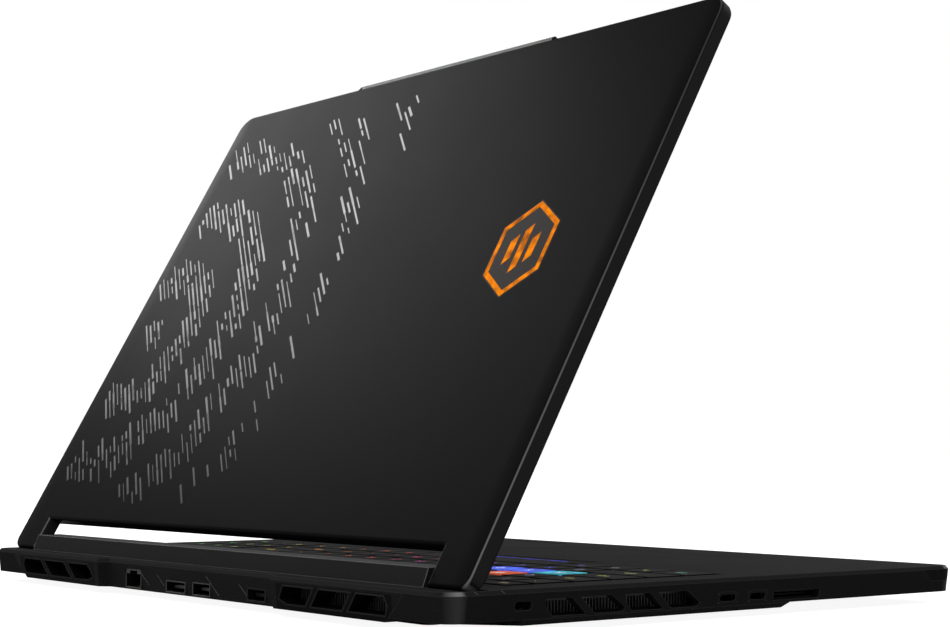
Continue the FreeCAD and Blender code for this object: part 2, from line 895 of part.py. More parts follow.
front_screws = row_of_screws(cavity_front + s.front_screw_inset,
                             [s.front_screw_x, cavity_x - s.front_screw_side])
card_end = half_width - s.side_port_sink - s.card_depth
middle_screws = row_of_screws(middle_screw_y, [s.middle_screw_x, card_end - s.middle_screw_side])
rear_screws = row_of_screws(half_depth - s.rear_screw_inset, [s.rear_screw_x])
screw_top = plate_top + s.screw_reach
screws = []
screw_holes = []
boss_posts = []
boss_bores = []
for i, (x, y) in enumerate(front_screws + middle_screws + rear_screws):
    face = wall_bottom if i < len(front_screws) else lowest
    head = rod("screw_head_%d" % i, (x, y, face), s.screw_head, s.screw_head_thick)
    shank = rod("screw_shank_%d" % i, (x, y, face), s.screw_shank, screw_top - face)
    screws.append(join("screw_%d" % i, [head, shank]))
    screw_holes.append(rod("screw_recess_%d" % i, (x, y, face - over), s.screw_head + s.screw_clear,
                           s.screw_head_thick + over))
    screw_holes.append(rod("screw_hole_%d" % i, (x, y, face - over), s.screw_shank + s.screw_clear,
                           s.base_drop))
    boss_posts.append(rod("boss_%d" % i, (x, y, plate_top), s.boss_radius, ceiling - plate_top))
    boss_bores.append(rod("boss_bore_%d" % i, (x, y, plate_top - over), s.screw_shank + s.screw_clear,
                          s.screw_reach + over * 2))
node("bottom_screws", group("bottom_screws", screws))

# Keyboard layout: key widths in key pitches, from the user's left.
FUNCTION_ROW = [1] * 15
NUMBER_ROW = [1] * 13 + [2]
UPPER_ROW = [1.5] + [1] * 12 + [1.5]
HOME_ROW = [1.75] + [1] * 11 + [2.25]
LOWER_ROW = [2.25] + [1] * 10 + [1.75, 1]
BOTTOM_ROW = [1.25, 1, 1, 1.25, 5.5, 1, 1, 1, 1, 1]
MAIN_UNITS = 15
PAD_COLUMNS = 3
row_y = [first_row_y + s.row_pitch * i for i in range(5)]
row_y.append(function_row_y)
row_depth = [s.row_pitch - s.key_gap] * 5 + [s.function_pitch - s.key_gap]
kb_left = s.kb_side - half_width
kb_right = half_width - s.kb_side
pad_left = kb_right - s.pad_pitch * PAD_COLUMNS
key_pitch = (pad_left - s.pad_gap - kb_left) / MAIN_UNITS
well_x = (kb_left - s.kb_margin, kb_right + s.kb_margin)
well_y = (kb_front, kb_rear)
key_low = deck + s.key_proud - s.key_height
plate_floor = key_low - s.key_travel - s.key_rest


def key_spans(row, widths):
    """Each key's X range and middle in one row of the main block."""
    found = []
    start = 0
    for width in widths:
        left = kb_left + key_pitch * start
        found.append((left + s.key_gap / 2, left + key_pitch * width - s.key_gap / 2, row))
        start += width
    return found


def pad_spans():
    """The number pad's keys, three to a row."""
    found = []
    for row in range(6):
        for column in range(PAD_COLUMNS):
            left = pad_left + s.pad_pitch * column
            found.append((left + s.key_gap / 2, left + s.pad_pitch - s.key_gap / 2, row))
    return found


def keys(name, spans):
    """Keycaps with drafted sides, each on a stem that runs in a slot of the keyboard plate."""
    body = new_body(name)
    caps = [rectangle((left, right), around(row_y[row], row_depth[row])) for left, right, row in spans]
    cap_sketch = body_sketch(body, name + "_caps", key_low, caps)
    body_pad(body, name + "_cap_pad", cap_sketch, s.key_height, taper="-1 deg * %s" % s.key_draft.text)
    stems = [rectangle(around((left + right) / 2, s.stem_size), around(row_y[row], s.stem_size))
             for left, right, row in spans]
    stem_sketch = body_sketch(body, name + "_stems", key_low, stems)
    body_pad(body, name + "_stem_pad", stem_sketch, key_low - plate_floor + s.stem_depth, down=True)
    return node(name, body)


upper = key_spans(3, UPPER_ROW)
home = key_spans(2, HOME_ROW)
bottom = key_spans(0, BOTTOM_ROW)
SPACE = 4
keys("function_keys", key_spans(5, FUNCTION_ROW))
keys("number_keys", key_spans(4, NUMBER_ROW))
keys("upper_letter_keys", upper[:2] + upper[3:])
keys("home_letter_keys", home[:1] + home[4:])
keys("lower_letter_keys", key_spans(1, LOWER_ROW))
keys("bottom_keys", bottom[:SPACE] + bottom[SPACE + 1:])
keys("number_pad_keys", pad_spans())
keys("space_bar", [bottom[SPACE]])
keys("key_w", [upper[2]])
keys("key_a", [home[1]])
keys("key_s", [home[2]])
keys("key_d", [home[3]])

kb_blank = box("kb_blank", (well_x[0] - s.kb_rim, well_x[1] + s.kb_rim),
               (well_y[0] - s.kb_rim, well_y[1] + s.kb_rim), (plate_floor - s.kb_plate, ceiling))
kb_cuts = [box("kb_pocket", well_x, well_y, (plate_floor, deck + over))]
for i, y in enumerate(row_y):
    kb_cuts.append(box("kb_slot_%d" % i, (kb_left, kb_right), around(y, s.stem_size + s.stem_clear * 2),
                       (plate_floor - s.kb_plate - over, plate_floor + over)))
node("keyboard_plate", cut("keyboard_plate", kb_blank, kb_cuts))

# Touchpad and its tray, in line with the space bar, and the power button.
touch_top = deck - s.touch_sink
touch_low = touch_top - s.touch_thick
touch_corner = {index: s.touch_corner for index in range(4)}
touch_middle_x = (bottom[SPACE][0] + bottom[SPACE][1]) / 2
touch_x = around(touch_middle_x, s.touch_width)
touch_y = (s.touch_front_gap - half_depth, well_y[0] - s.touch_gap)
node("touchpad", slab("touchpad", [rectangle(touch_x, touch_y)], touch_low, touch_top, touch_corner))
pocket_low = touch_low - s.touch_travel - s.touch_sink
pocket_x = (touch_x[0] - s.touch_clear, touch_x[1] + s.touch_clear)
pocket_y = (touch_y[0] - s.touch_clear, touch_y[1] + s.touch_clear)
touch_pocket = box("touch_pocket", pocket_x, pocket_y, (pocket_low, deck + over))
touch_tray = box("touch_tray", (pocket_x[0] - s.tray_thick, pocket_x[1] + s.tray_thick),
                 (pocket_y[0] - s.tray_thick, pocket_y[1] + s.tray_thick),
                 (pocket_low - s.tray_thick, ceiling))
button_round = {index: s.button_corner for index in range(4)}
button_x = hump_half - s.button_side
button_top = deck + s.button_proud
node("power_button", slab("power_button", [rectangle(around(button_x, s.button_length),
                                                     around(button_y, s.button_width))],
                          button_top - s.button_height, button_top, button_round))
button_hole = prism("button_hole", "xy",
                    [rectangle(around(button_x, s.button_length + s.button_clear * 2),
                               around(button_y, s.button_width + s.button_clear * 2))],
                    ceiling - over, deck + over, button_round)

# Front light bar, let into the front edge and round both front corners.
bar_x = (-half_width - over, half_width + over)


def bar_outline(seam):
    low = deck - s.bar_drop + seam
    high = widest - seam
    return [(-half_depth - over, low), (s.bar_side_low - half_depth - seam, low),
            (s.bar_side_top - half_depth - seam, high), (-half_depth - over, high)]


bar_wide = prism("bar_wide", "yz", [bar_outline(as_size(0))], bar_x[0], bar_x[1])
bar_core = box("bar_core", (-cavity_x - s.bar_web, cavity_x + s.bar_web),
               (cavity_front - s.bar_web, cavity_rear), (lowest, deck))
bar_cut = cut("bar_cut", bar_wide, [bar_core])
bar_slim = prism("bar_slim", "yz", [bar_outline(s.seam)], bar_x[0], bar_x[1])
bar_form = overlap("bar_form", base_shape, bar_slim)
node("front_light_bar", cut("front_light_bar", bar_form, [bar_core]))

# Top case: deck and walls in one shell, with the tray, hinge wells and bosses under the deck.
under = box("under", (-half_width - over, half_width + over), (-half_depth - over, half_depth + over),
            (lowest - over, wall_bottom))
case_shell = cut("case_shell", base_shape, [cavity, under])
well_blocks = []
well_cuts = []
for side, pair in (("right", lambda p: p), ("left", mirrored)):
    well_blocks.append(box("well_block_" + side, pair((cutout_half - s.well_floor, cavity_x)),
                           (well_front - s.well_floor, cavity_rear),
                           (deck - s.well_depth - s.well_floor, ceiling)))
    well_cuts.append(box("well_" + side, pair((hump_half + s.plate_clear, half_width - s.well_side)),
                         (well_front, well_rear), (deck - s.well_depth, deck + over)))
case_solid = join("case_solid", [case_shell, touch_tray] + well_blocks + boss_posts)
window = prism("window", "xz", [window_outline(as_size(0))], cavity_rear - over, half_depth + over)
kb_opening = box("kb_opening", well_x, well_y, (ceiling - over, deck + over))
side_openings = [port.opening() for port in left_slim + right_data + [card_slot]]
left_vents = prism("left_vents", "yz", side_vent_outlines(), -half_width - over, over - cavity_x)
right_vents = prism("right_vents", "yz", side_vent_outlines(), cavity_x - over, half_width + over)
node("top_case", cut("top_case", case_solid,
                     well_cuts + boss_bores + side_openings
                     + [touch_pocket, button_hole, kb_opening, window, bar_cut, lock_opening,
                        jack_opening, left_vents, right_vents]))

# Rear panel with the air vents and the port openings.
panel_form = overlap("panel_form", base_form, prism("panel_prism", "xz", [window_outline(s.seam)],
                                                    cavity_rear, half_depth + over))
rear_vents = prism("rear_vents", "xz", rear_vent_outlines(), cavity_rear - over, half_depth + over)
panel_openings = [port.opening("_opening", (cavity_rear - over, half_depth + over)) for port in rear_ports]
node("rear_panel", cut("rear_panel", panel_form, [rear_vents] + panel_openings))

# Bottom cover: a plate between the walls, and a deeper tray under the cooling.
plate = box("plate", (s.plate_clear - cavity_x, cavity_x - s.plate_clear),
            (cavity_front + s.plate_clear, cavity_rear - s.plate_clear), (wall_bottom, plate_top))
bulge_outline = [(-half_width, bulge_front), (half_width, bulge_front),
                 (half_width, bulge_end), (bulge_rear_half, cavity_rear - s.plate_clear),
                 (-bulge_rear_half, cavity_rear - s.plate_clear), (-half_width, bulge_end)]
bulge = overlap("bulge", base_form, prism("bulge_prism", "xy", [bulge_outline], lowest, wall_bottom))
bulge_flat = bulge_front + s.bulge_slope
slope = prism("slope", "yz", [[(bulge_front - over, lowest - over), (bulge_flat, lowest - over),
                               (bulge_flat, lowest), (bulge_front, wall_bottom),
                               (bulge_front - over, wall_bottom)]], bar_x[0], bar_x[1])
tray_rear = cavity_rear - s.plate_clear - s.tray_rear_wall
tray_outline = [(-tray_side, tray_front), (tray_side, tray_front),
                (tray_side, bulge_end - s.tray_rim),
                (bulge_rear_half, tray_rear), (-bulge_rear_half, tray_rear),
                (-tray_side, bulge_end - s.tray_rim)]
tray = prism("tray", "xy", [tray_outline], tray_floor, plate_top + over)
cover_bosses = [rod("cover_boss_%d" % i, (x, y, lowest), s.cover_boss_radius, plate_top - lowest)
                for i, (x, y) in enumerate(rear_screws)]
intakes = []
for side, x in (("right", fan_x), ("left", -fan_x)):
    for i in range(int(SIZES["slot_count"])):
        offset = s.slot_pitch * (i - (SIZES["slot_count"] - 1) / 2)
        intakes.append(box("intake_%s_%d" % (side, i), around(x, s.slot_length),
                           around(fan_y + offset, s.slot_width), (lowest - over, tray_floor + over)))
rim_notches = [port.opening("_notch_in_rim", (tray_rear - over, cavity_rear)) for port in rear_ports]
cover_blank = cut("cover_blank", join("cover_solid", [plate, bulge]), [slope, tray])
node("bottom_cover", cut("bottom_cover", join("cover_bossed", [cover_blank] + cover_bosses),
                         intakes + screw_holes + rim_notches))


# Rubber feet, taller at the front where the cover is higher.
def feet(name, x, y, top):
    rounding = {index: s.foot_corner for index in range(4)}
    pads = [slab("%s_%s" % (name, side), [rectangle(around(middle, s.foot_length), around(y, s.foot_width))],
                 as_size(0), top, rounding) for side, middle in (("left", -x), ("right", x))]
    return node(name, group(name, pads))


feet("rear_feet", half_width - s.rear_foot_side, half_depth - s.rear_foot_inset, lowest)
feet("front_feet", half_width - s.front_foot_side, s.front_foot_inset - half_depth, wall_bottom)


# Hinge bar on the deck between the lid's legs, hollow, with the base hinge brackets inside.
def hump_outline(wall, low):
    top = deck + s.hump_top - wall
    return [(hump_front + wall, low), (hump_rear_low - wall, low), (hump_rear_top - wall, top),
            (hump_front + s.hump_nose, top), (hump_front + wall, top - s.hump_nose + wall)]


hump_solid = prism("hump_solid", "yz", [hump_outline(as_size(0), deck)], -hump_half, hump_half)
hump_room = prism("hump_room", "yz", [hump_outline(s.hump_wall, deck - over)],
                  s.hump_end - hump_half, hump_half - s.hump_end)
pin_hole_radius = s.pin_radius + s.pin_hole_clear
hump_holes = [rod("hump_hole_" + side, (x, hinge_y, hinge_z), pin_hole_radius, s.hump_end * 3, "x")
              for side, x in (("right", hump_half - s.hump_end * 2), ("left", -hump_half - s.hump_end))]
node("hinge_bar", cut("hinge_bar", hump_solid, [hump_room] + hump_holes))
bracket_end = hump_half - s.hump_end - s.knuckle_gap
knuckle_start = bracket_end - s.knuckle_length
for side, pair in (("right", lambda p: p), ("left", mirrored)):
    foot = box("bracket_foot_" + side, pair((bracket_end - s.bracket_length, bracket_end)),
               (hump_front + s.hump_nose, hump_rear_top), (deck, deck + s.bracket_thick))
    span = pair((knuckle_start, bracket_end))
    knuckle = rod("knuckle_" + side, (span[0], hinge_y, hinge_z), s.knuckle_radius, s.knuckle_length, "x")
    web = box("bracket_web_" + side, span, around(hinge_y, s.knuckle_radius), (deck, hinge_z))
    bore = rod("knuckle_bore_" + side, (span[0] - over, hinge_y, hinge_z), s.pin_radius + s.pin_clear,
               s.knuckle_length + over * 2, "x")
    node("hinge_bracket_" + side, cut("hinge_bracket_" + side,
                                      join("bracket_" + side, [foot, knuckle, web]), [bore]))

# Lid, drawn closed about the hinge axis: -Y runs up the lid, +Z is its back.
lid_length = s.base_depth - s.hinge_inset + s.hinge_end - s.lid_front_gap
lid_top = s.hinge_end - lid_length
lid_cut = s.hinge_end - s.cutout_depth
lid_back = s.hinge_back
lid_face = s.hinge_back - s.lid_thick
bezel_back = lid_face + s.bezel_thick
lid_inside = lid_back - s.lid_skin


def lid_outline(inset, leg_short):
    """The lid with its two legs, drawn in by an inset."""
    side = lid_half - inset
    inner = cutout_half + inset
    leg = s.hinge_end - inset - leg_short
    return [(-side, lid_top + inset), (side, lid_top + inset), (side, leg), (inner, leg),
            (inner, lid_cut - inset), (-inner, lid_cut - inset), (-inner, leg), (-side, leg)]


def lid_radii(inset):
    return {0: s.lid_corner - inset, 1: s.lid_corner - inset, 2: s.leg_corner - inset,
            7: s.leg_corner - inset}


def on_lid(label, obj):
    """Turn a finished lid piece to the open lid."""
    obj.Placement = FreeCAD.Placement(Vector(), FreeCAD.Rotation(Vector(1, 0, 0), -SIZES["lid_open"]))
    place(obj, 0, hinge_y, hinge_z)
    bind(obj, "Placement.Rotation.Angle", -s.lid_open)
    return node(label, obj)


zero = as_size(0)
cover_form = new_body("cover_form")
cover_sketch = body_sketch(cover_form, "cover_outline", bezel_back, [lid_outline(zero, zero)],
                           lid_radii(zero))
cover_pad = body_pad(cover_form, "cover_pad", cover_sketch, lid_back - bezel_back)
doc.recompute()
back_edges = ["Edge%d" % (i + 1) for i, edge in enumerate(cover_pad.Shape.Edges)
              if edge.BoundBox.ZMin > lid_back.number - 0.01]
cover_round = cover_form.newObject("PartDesign::Fillet", "cover_round")
cover_round.Base = (cover_pad, back_edges)
bind(cover_round, "Radius", s.lid_round)
cover_room = prism("cover_room", "xy", [lid_outline(s.lid_rim, zero)], bezel_back - over, lid_inside,
                   lid_radii(s.lid_rim))


def hexagon(margin):
    """The emblem window: a hexagon standing on its point, grown by a margin."""
    across = s.emblem_side - lid_half
    middle = s.hinge_end - s.emblem_up
    wide = s.emblem_half_width + margin
    tall = s.emblem_half_height + margin
    return [(across, middle - tall), (across + wide, middle - tall / 2),
            (across + wide, middle + tall / 2), (across, middle + tall),
            (across - wide, middle + tall / 2), (across - wide, middle - tall / 2)]


emblem_hole = prism("emblem_hole", "xy", [hexagon(s.emblem_clear)], lid_inside - over, lid_back + over)
leg_holes = [rod("leg_hole_" + side, (x, zero, zero), pin_hole_radius, s.lid_rim * 3, "x")
             for side, x in (("right", cutout_half - s.lid_rim), ("left", -cutout_half - s.lid_rim * 2))]
on_lid("lid_cover", cut("lid_cover", cover_form, [cover_room, emblem_hole] + leg_holes))
emblem_window = prism("emblem_window", "xy", [hexagon(zero)], lid_inside, lid_back)
emblem_flange = prism("emblem_flange", "xy", [hexagon(s.emblem_flange)],
                      lid_inside - s.emblem_flange_thick, lid_inside)
on_lid("lid_emblem", join("lid_emblem", [emblem_window, emblem_flange]))

camera_y = (lid_top + s.lid_rim + s.plate_clear, lid_top + s.lid_rim + s.plate_clear + s.camera_width)
lens_y = (camera_y[0] + camera_y[1]) / 2
shutter_gap = s.shutter_clear
recess_x = (-s.shutter_length / 2 - shutter_gap, s.shutter_length / 2 + s.shutter_travel + shutter_gap)
recess_depth = s.shutter_thick + shutter_gap
bezel_blank = slab("bezel_blank", [lid_outline(s.bezel_inset, s.bezel_leg_short)], lid_face, bezel_back,
                   lid_radii(s.bezel_inset))
panel_width = lid_half * 2 - (s.lid_rim + s.display_clear) * 2
panel_y = (lid_top + s.panel_margin, lid_cut - s.panel_low_margin)
view_width = panel_width - s.view_border_side * 2
view_y = (panel_y[0] + s.view_border_top, panel_y[1] - s.view_border_low)
view_hole = box("view_hole", around(zero, view_width), view_y, (lid_face - over, bezel_back + over))
lens_opening = rod("lens_opening", (zero, lens_y, lid_face - over), s.lens_hole, s.bezel_thick + over * 2)
shutter_recess = box("shutter_recess", recess_x, around(lens_y, s.shutter_width + shutter_gap * 2),
                     (lid_face - over, lid_face + recess_depth))
on_lid("lid_bezel", cut("lid_bezel", bezel_blank, [view_hole, lens_opening, shutter_recess]))
shutter_x = around(s.shutter_travel, s.shutter_length)
shutter_low = lid_face + shutter_gap / 2
on_lid("camera_shutter", slab("camera_shutter", [rectangle(shutter_x, around(lens_y, s.shutter_width))],
                              shutter_low, shutter_low + s.shutter_thick))
camera_board = box("camera_board", around(zero, s.camera_length), camera_y,
                   (bezel_back, bezel_back + s.camera_thick))
lens_tip = (s.bezel_thick - recess_depth) / 2
camera_lens = rod("camera_lens", (zero, lens_y, bezel_back - lens_tip), s.camera_lens, s.camera_thick / 2)
on_lid("camera_module", join("camera_module", [camera_board, camera_lens]))
on_lid("display_panel", slab("display_panel", [rectangle(around(zero, panel_width), panel_y)],
                             bezel_back, bezel_back + s.panel_thick))
lip_top = lid_top - s.lip_rise
lip_outline = [(-s.lip_half, lid_top), (s.lip_rise - s.lip_half, lip_top),
               (s.lip_half - s.lip_rise, lip_top), (s.lip_half, lid_top)]
on_lid("camera_lip", slab("camera_lip", [lip_outline], s.lip_low, s.lip_low + s.lip_thick))
bumper_z = (lid_face - s.bumper_thick, lid_face)
bumper_x = lid_half - s.bumper_side
bumpers = []
for side, middle in (("left", -bumper_x), ("right", bumper_x)):
    for end, edge in (("top", lid_top + s.bumper_width), ("low", lid_cut - s.bumper_width * 2)):
        bumpers.append(box("bumper_%s_%s" % (side, end), around(middle, s.bumper_length),
                           (edge, edge + s.bumper_width), bumper_z))
on_lid("lid_bumpers", group("lid_bumpers", bumpers))

leaf_start = cutout_half + s.lid_rim + s.pin_hole_clear
leaf_low = bezel_back + s.pin_clear
pin_start = knuckle_start + over
for side, pair in (("right", lambda p: p), ("left", mirrored)):
    leaf = box("leaf_" + side, pair((leaf_start, leaf_start + s.leaf_width)),
               (-s.leaf_reach, s.knuckle_radius), (leaf_low, leaf_low + s.leaf_thick))
    barrel = box("barrel_" + side, pair((leaf_start, leaf_start + s.leaf_width / 2)),
                 around(zero, s.knuckle_radius * 2), (leaf_low, lid_inside - s.pin_hole_clear))
    pin_x = pair((pin_start, leaf_start + s.leaf_width / 2))
    pin = rod("pin_" + side, (pin_x[0], zero, zero), s.pin_radius, pin_x[1] - pin_x[0], "x")
    on_lid("hinge_arm_" + side, join("hinge_arm_" + side, [leaf, barrel, pin]))

# Boards and chips.
board_top = plate_floor - s.kb_plate - s.post_height
board_low = board_top - s.board_thick
board_front = tray_front + s.board_gap
board_rear = rear_port_front - s.port_depth
chip_middle = board_front + s.chip_back
board_half = rear_fin_start - s.board_side_gap
board = box("board", (-board_half, board_half), (board_front, board_rear), (board_low, board_top))
posts = [rod("post_%d_%d" % (i, gap), (x, row_y[gap] + s.row_pitch / 2, board_top), s.post_radius,
             s.post_height)
         for i, x in enumerate((-s.post_x, s.post_x)) for gap in (0, 3)]
node("mainboard", join("mainboard", [board] + posts))
chip_low = board_low - s.chip_thick
spreader_low = chip_low - s.spreader_thick
pipe_low = spreader_low - s.pipe_thick
chip_y = around(chip_middle, s.chip_length)
fin_rear = tray_rear
fin_front = fin_rear - s.rear_fin_depth
chips = []
pipe_end = rear_fin_end - s.pipe_short
pipes = [box("cross_pipe", (-pipe_end, pipe_end), (fin_front - s.pipe_width, fin_front),
             (pipe_low, spreader_low))]
for name, x in (("processor", -s.chip_x), ("graphics", s.chip_x)):
    chips.append(box(name, around(x, s.chip_width), chip_y, (chip_low, board_low)))
    pipes.append(box(name + "_spreader", around(x, s.chip_width + s.spreader_margin * 2),
                     around(chip_middle, s.chip_length + s.spreader_margin * 2), (spreader_low, chip_low)))
    pipes.append(box(name + "_pipe", around(x, s.pipe_width * 2), (chip_y[0], fin_front),
                     (pipe_low, spreader_low)))
node("processor_chips", group("processor_chips", chips))
node("heat_pipes", join("heat_pipes", pipes))

memory = []
for i in range(2):
    high = board_low - s.memory_step * i
    front = board_front + s.memory_gap + s.memory_offset * i
    memory.append(box("memory_%d" % i, around(zero, s.memory_width), (front, front + s.memory_length),
                      (high - s.memory_thick, high)))
node("memory_modules", group("memory_modules", memory))
drive_front = board_front + s.drive_gap
node("storage_drives", group("storage_drives", [
    box("drive_" + side, around(x, s.drive_width), (drive_front, drive_front + s.drive_length),
        (board_low - s.drive_thick, board_low)) for side, x in (("left", -s.drive_x), ("right", s.drive_x))]))
node("wireless_card", box("wireless_card", around(s.wireless_x, s.wireless_width),
                          around(board_rear - s.wireless_ahead, s.wireless_length),
                          (board_low - s.wireless_thick, board_low)))

# Speakers beside the headset jack, ahead of the right-hand sockets, and the battery between them.
speaker_x = jack_start - s.speaker_side_gap - s.speaker_width / 2
speaker_rear = right_data[1].y[0] - s.port_shell - s.speaker_rear_gap
node("speakers", group("speakers", [
    box("speaker_" + side, around(x, s.speaker_width), (cavity_front + s.speaker_gap, speaker_rear),
        (plate_top, plate_top + s.speaker_thick))
    for side, x in (("left", -speaker_x), ("right", speaker_x))]))
battery_half = speaker_x - s.speaker_width / 2 - s.battery_side_gap
node("battery", box("battery", (-battery_half, battery_half),
                    (cavity_front + s.battery_gap, middle_screw_y - s.battery_rear_gap),
                    (plate_top, plate_top + s.battery_thick)))

# Cooling fans: an open housing with a pin, and a bladed rotor that turns on it.
fan_top = deck - s.fan_drop
room_top = fan_top - s.fan_skin


def circle(sketch, radius):
    """A circle about the sketch's origin."""
    index = sketch.addGeometry(Part.Circle(Vector(), Vector(0, 0, 1), radius.number), False)
    sketch.addConstraint(Sketcher.Constraint("Coincident", index, 3, -1, 1))
    rule = sketch.addConstraint(Sketcher.Constraint("Radius", index, radius.number))
    sketch.setExpression("Constraints[%d]" % rule, radius.text)


def fan(side, x):
    name = "fan_housing_" + side
    half = s.fan_size / 2
    mouth = s.fan_mouth / 2
    room = (tray_floor - over, room_top)
    outward = (x, x + half + over) if side == "right" else (x - half - over, x)
    blank = box(name + "_blank", around(x, s.fan_size), around(fan_y, s.fan_size), (tray_floor, fan_top))
    shell = cut(name + "_shell", blank, [
        rod(name + "_room", (x, fan_y, room[0]), s.fan_radius, room[1] - room[0]),
        box(name + "_rear_mouth", (x - mouth, x + mouth), (fan_y, fan_y + half + over), room),
        box(name + "_side_mouth", outward, (fan_y - mouth, fan_y + mouth), room)])
    low = tray_floor + s.rotor_lift
    pin = rod(name + "_pin", (x, fan_y, low), s.fan_pin, fan_top - low)
    node(name, join(name, [shell, pin]))
    rotor = new_body("fan_rotor_" + side)
    hub = body_sketch(rotor, rotor.Name + "_hub_sketch", low, [])
    circle(hub, s.rotor_hub)
    circle(hub, s.fan_pin + s.fan_pin_clear)
    body_pad(rotor, rotor.Name + "_hub", hub, s.rotor_height)
    doc.recompute()
    blade_sketch = body_sketch(rotor, rotor.Name + "_blade_sketch", low,
                               [rectangle((s.rotor_hub - over, s.rotor_radius), around(zero, s.blade_thick))])
    blade = body_pad(rotor, rotor.Name + "_blade", blade_sketch, s.rotor_height)
    doc.recompute()
    ring = rotor.newObject("PartDesign::PolarPattern", rotor.Name + "_blades")
    ring.Originals = [blade]
    ring.Axis = (hub, ["N_Axis"])
    ring.Angle = 360
    bind(ring, "Occurrences", s.blade_count)
    rotor.Tip = ring
    place(rotor, x, fan_y, 0)
    node("fan_rotor_" + side, rotor)


fan("left", -fan_x)
fan("right", fan_x)


# Fin stacks behind the vents: thin fins between two plates.
def fin_stack(name, first, low, high, count, axis):
    """first is the first fin's X and Y ranges, axis the direction in which the fins repeat."""
    body = new_body(name)
    length = s.fin_pitch * (count - 1) + s.fin_thick
    if axis == "H_Axis":
        whole = rectangle((first[0][0], first[0][0] + length), first[1])
    else:
        whole = rectangle(first[0], (first[1][0], first[1][0] + length))
    lower = body_sketch(body, name + "_lower_sketch", low, [whole])
    body_pad(body, name + "_lower", lower, s.fin_plate)
    fin_sketch = body_sketch(body, name + "_fin_sketch", low, [rectangle(*first)])
    fin = body_pad(body, name + "_fin", fin_sketch, high - low)
    doc.recompute()
    row = body.newObject("PartDesign::LinearPattern", name + "_fins")
    row.Originals = [fin]
    row.Direction = (fin_sketch, [axis])
    bind(row, "Length", s.fin_pitch * (count - 1))
    bind(row, "Occurrences", count)
    body.Tip = row
    doc.recompute()
    upper_sketch = body_sketch(body, name + "_upper_sketch", high - s.fin_plate, [whole])
    body_pad(body, name + "_upper", upper_sketch, s.fin_plate)
    return body


def whole_number(value):
    """A Size rounded down."""
    return Size(float(math.floor(value.number)), "floor(%s)" % value.text)


fin_low = tray_floor + s.fin_seat
rear_fin_room = rear_fin_end - rear_fin_start - s.fin_thick
rear_fin_count = whole_number(rear_fin_room / s.fin_pitch) + 1
side_fin_front = side_vent_front - s.side_fin_over
side_fin_room = side_vent_rear - side_fin_front - s.fin_thick
side_fin_count = whole_number(side_fin_room / s.fin_pitch) + 1
rear_length = s.fin_pitch * (rear_fin_count - 1) + s.fin_thick
rear_high = deck - s.rear_fin_drop
rear_stacks = []
for side, start in (("right", rear_fin_start), ("left", -rear_fin_start - rear_length)):
    rear_stacks.append(fin_stack("rear_fins_" + side, ((start, start + s.fin_thick), (fin_front, fin_rear)),
                                 fin_low, rear_high, rear_fin_count, "H_Axis"))
node("rear_fin_stacks", group("rear_fin_stacks", rear_stacks))
side_high = deck - s.side_fin_drop
fan_edge = fan_x + s.fan_size / 2 + s.fin_seat
side_stacks = []
for side, pair in (("right", lambda p: p), ("left", mirrored)):
    side_stacks.append(fin_stack("side_fins_" + side,
                                 (pair((fan_edge, fan_edge + s.side_fin_depth)),
                                  (side_fin_front, side_fin_front + s.fin_thick)),
                                 fin_low, side_high, side_fin_count, "V_Axis"))
node("side_fin_stacks", group("side_fin_stacks", side_stacks))

doc.recompute()
failed = [obj.Name for obj in doc.Objects if "Invalid" in obj.State or "Error" in obj.State]
if failed:
    raise RuntimeError("objects failed: %s" % failed)
for label, obj in nodes.items():
    if obj.Shape.isNull() or not obj.Shape.isValid() or not obj.Shape.Solids:
        raise RuntimeError("bad shape: %s" % label)
os.makedirs("parts", exist_ok=True)
for label, obj in nodes.items():
    obj.Shape.exportStep("parts/%s.step" % label)
    print("%-22s %3d solids %12.1f mm3" % (label, len(obj.Shape.Solids), obj.Shape.Volume))
print(len(nodes), "nodes")
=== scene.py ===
# %% [markdown]
# # An open laptop, dressed for a studio picture
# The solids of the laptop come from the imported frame, in metres, with every node already in its place.
# This lesson gives each of them a finish, and adds the small things that are printed, lit or moulded on.

# %% Load the fixed frame
import json
import math

import bmesh
import bpy
from mathutils import Matrix, Vector


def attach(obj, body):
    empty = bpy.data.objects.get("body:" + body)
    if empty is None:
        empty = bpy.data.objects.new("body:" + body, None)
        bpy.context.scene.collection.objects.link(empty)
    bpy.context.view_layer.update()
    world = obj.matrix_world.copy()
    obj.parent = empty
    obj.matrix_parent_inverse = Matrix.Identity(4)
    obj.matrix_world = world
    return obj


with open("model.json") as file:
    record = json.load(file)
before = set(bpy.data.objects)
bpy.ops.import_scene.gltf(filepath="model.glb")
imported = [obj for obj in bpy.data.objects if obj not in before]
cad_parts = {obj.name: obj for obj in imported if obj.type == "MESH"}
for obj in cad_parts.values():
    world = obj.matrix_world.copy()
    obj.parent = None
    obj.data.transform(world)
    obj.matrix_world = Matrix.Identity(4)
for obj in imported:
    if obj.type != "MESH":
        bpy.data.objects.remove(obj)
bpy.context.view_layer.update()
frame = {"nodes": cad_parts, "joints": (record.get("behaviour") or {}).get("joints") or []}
MM = 0.001

# %% [markdown]
# ## The camera
# The picture was taken from behind, to the user's left and barely above the table, with a longish lens.
# A camera can be aimed with a Track To constraint, but a solved view is three axes and a place, so its
# matrix is written directly: right, up, and backwards.

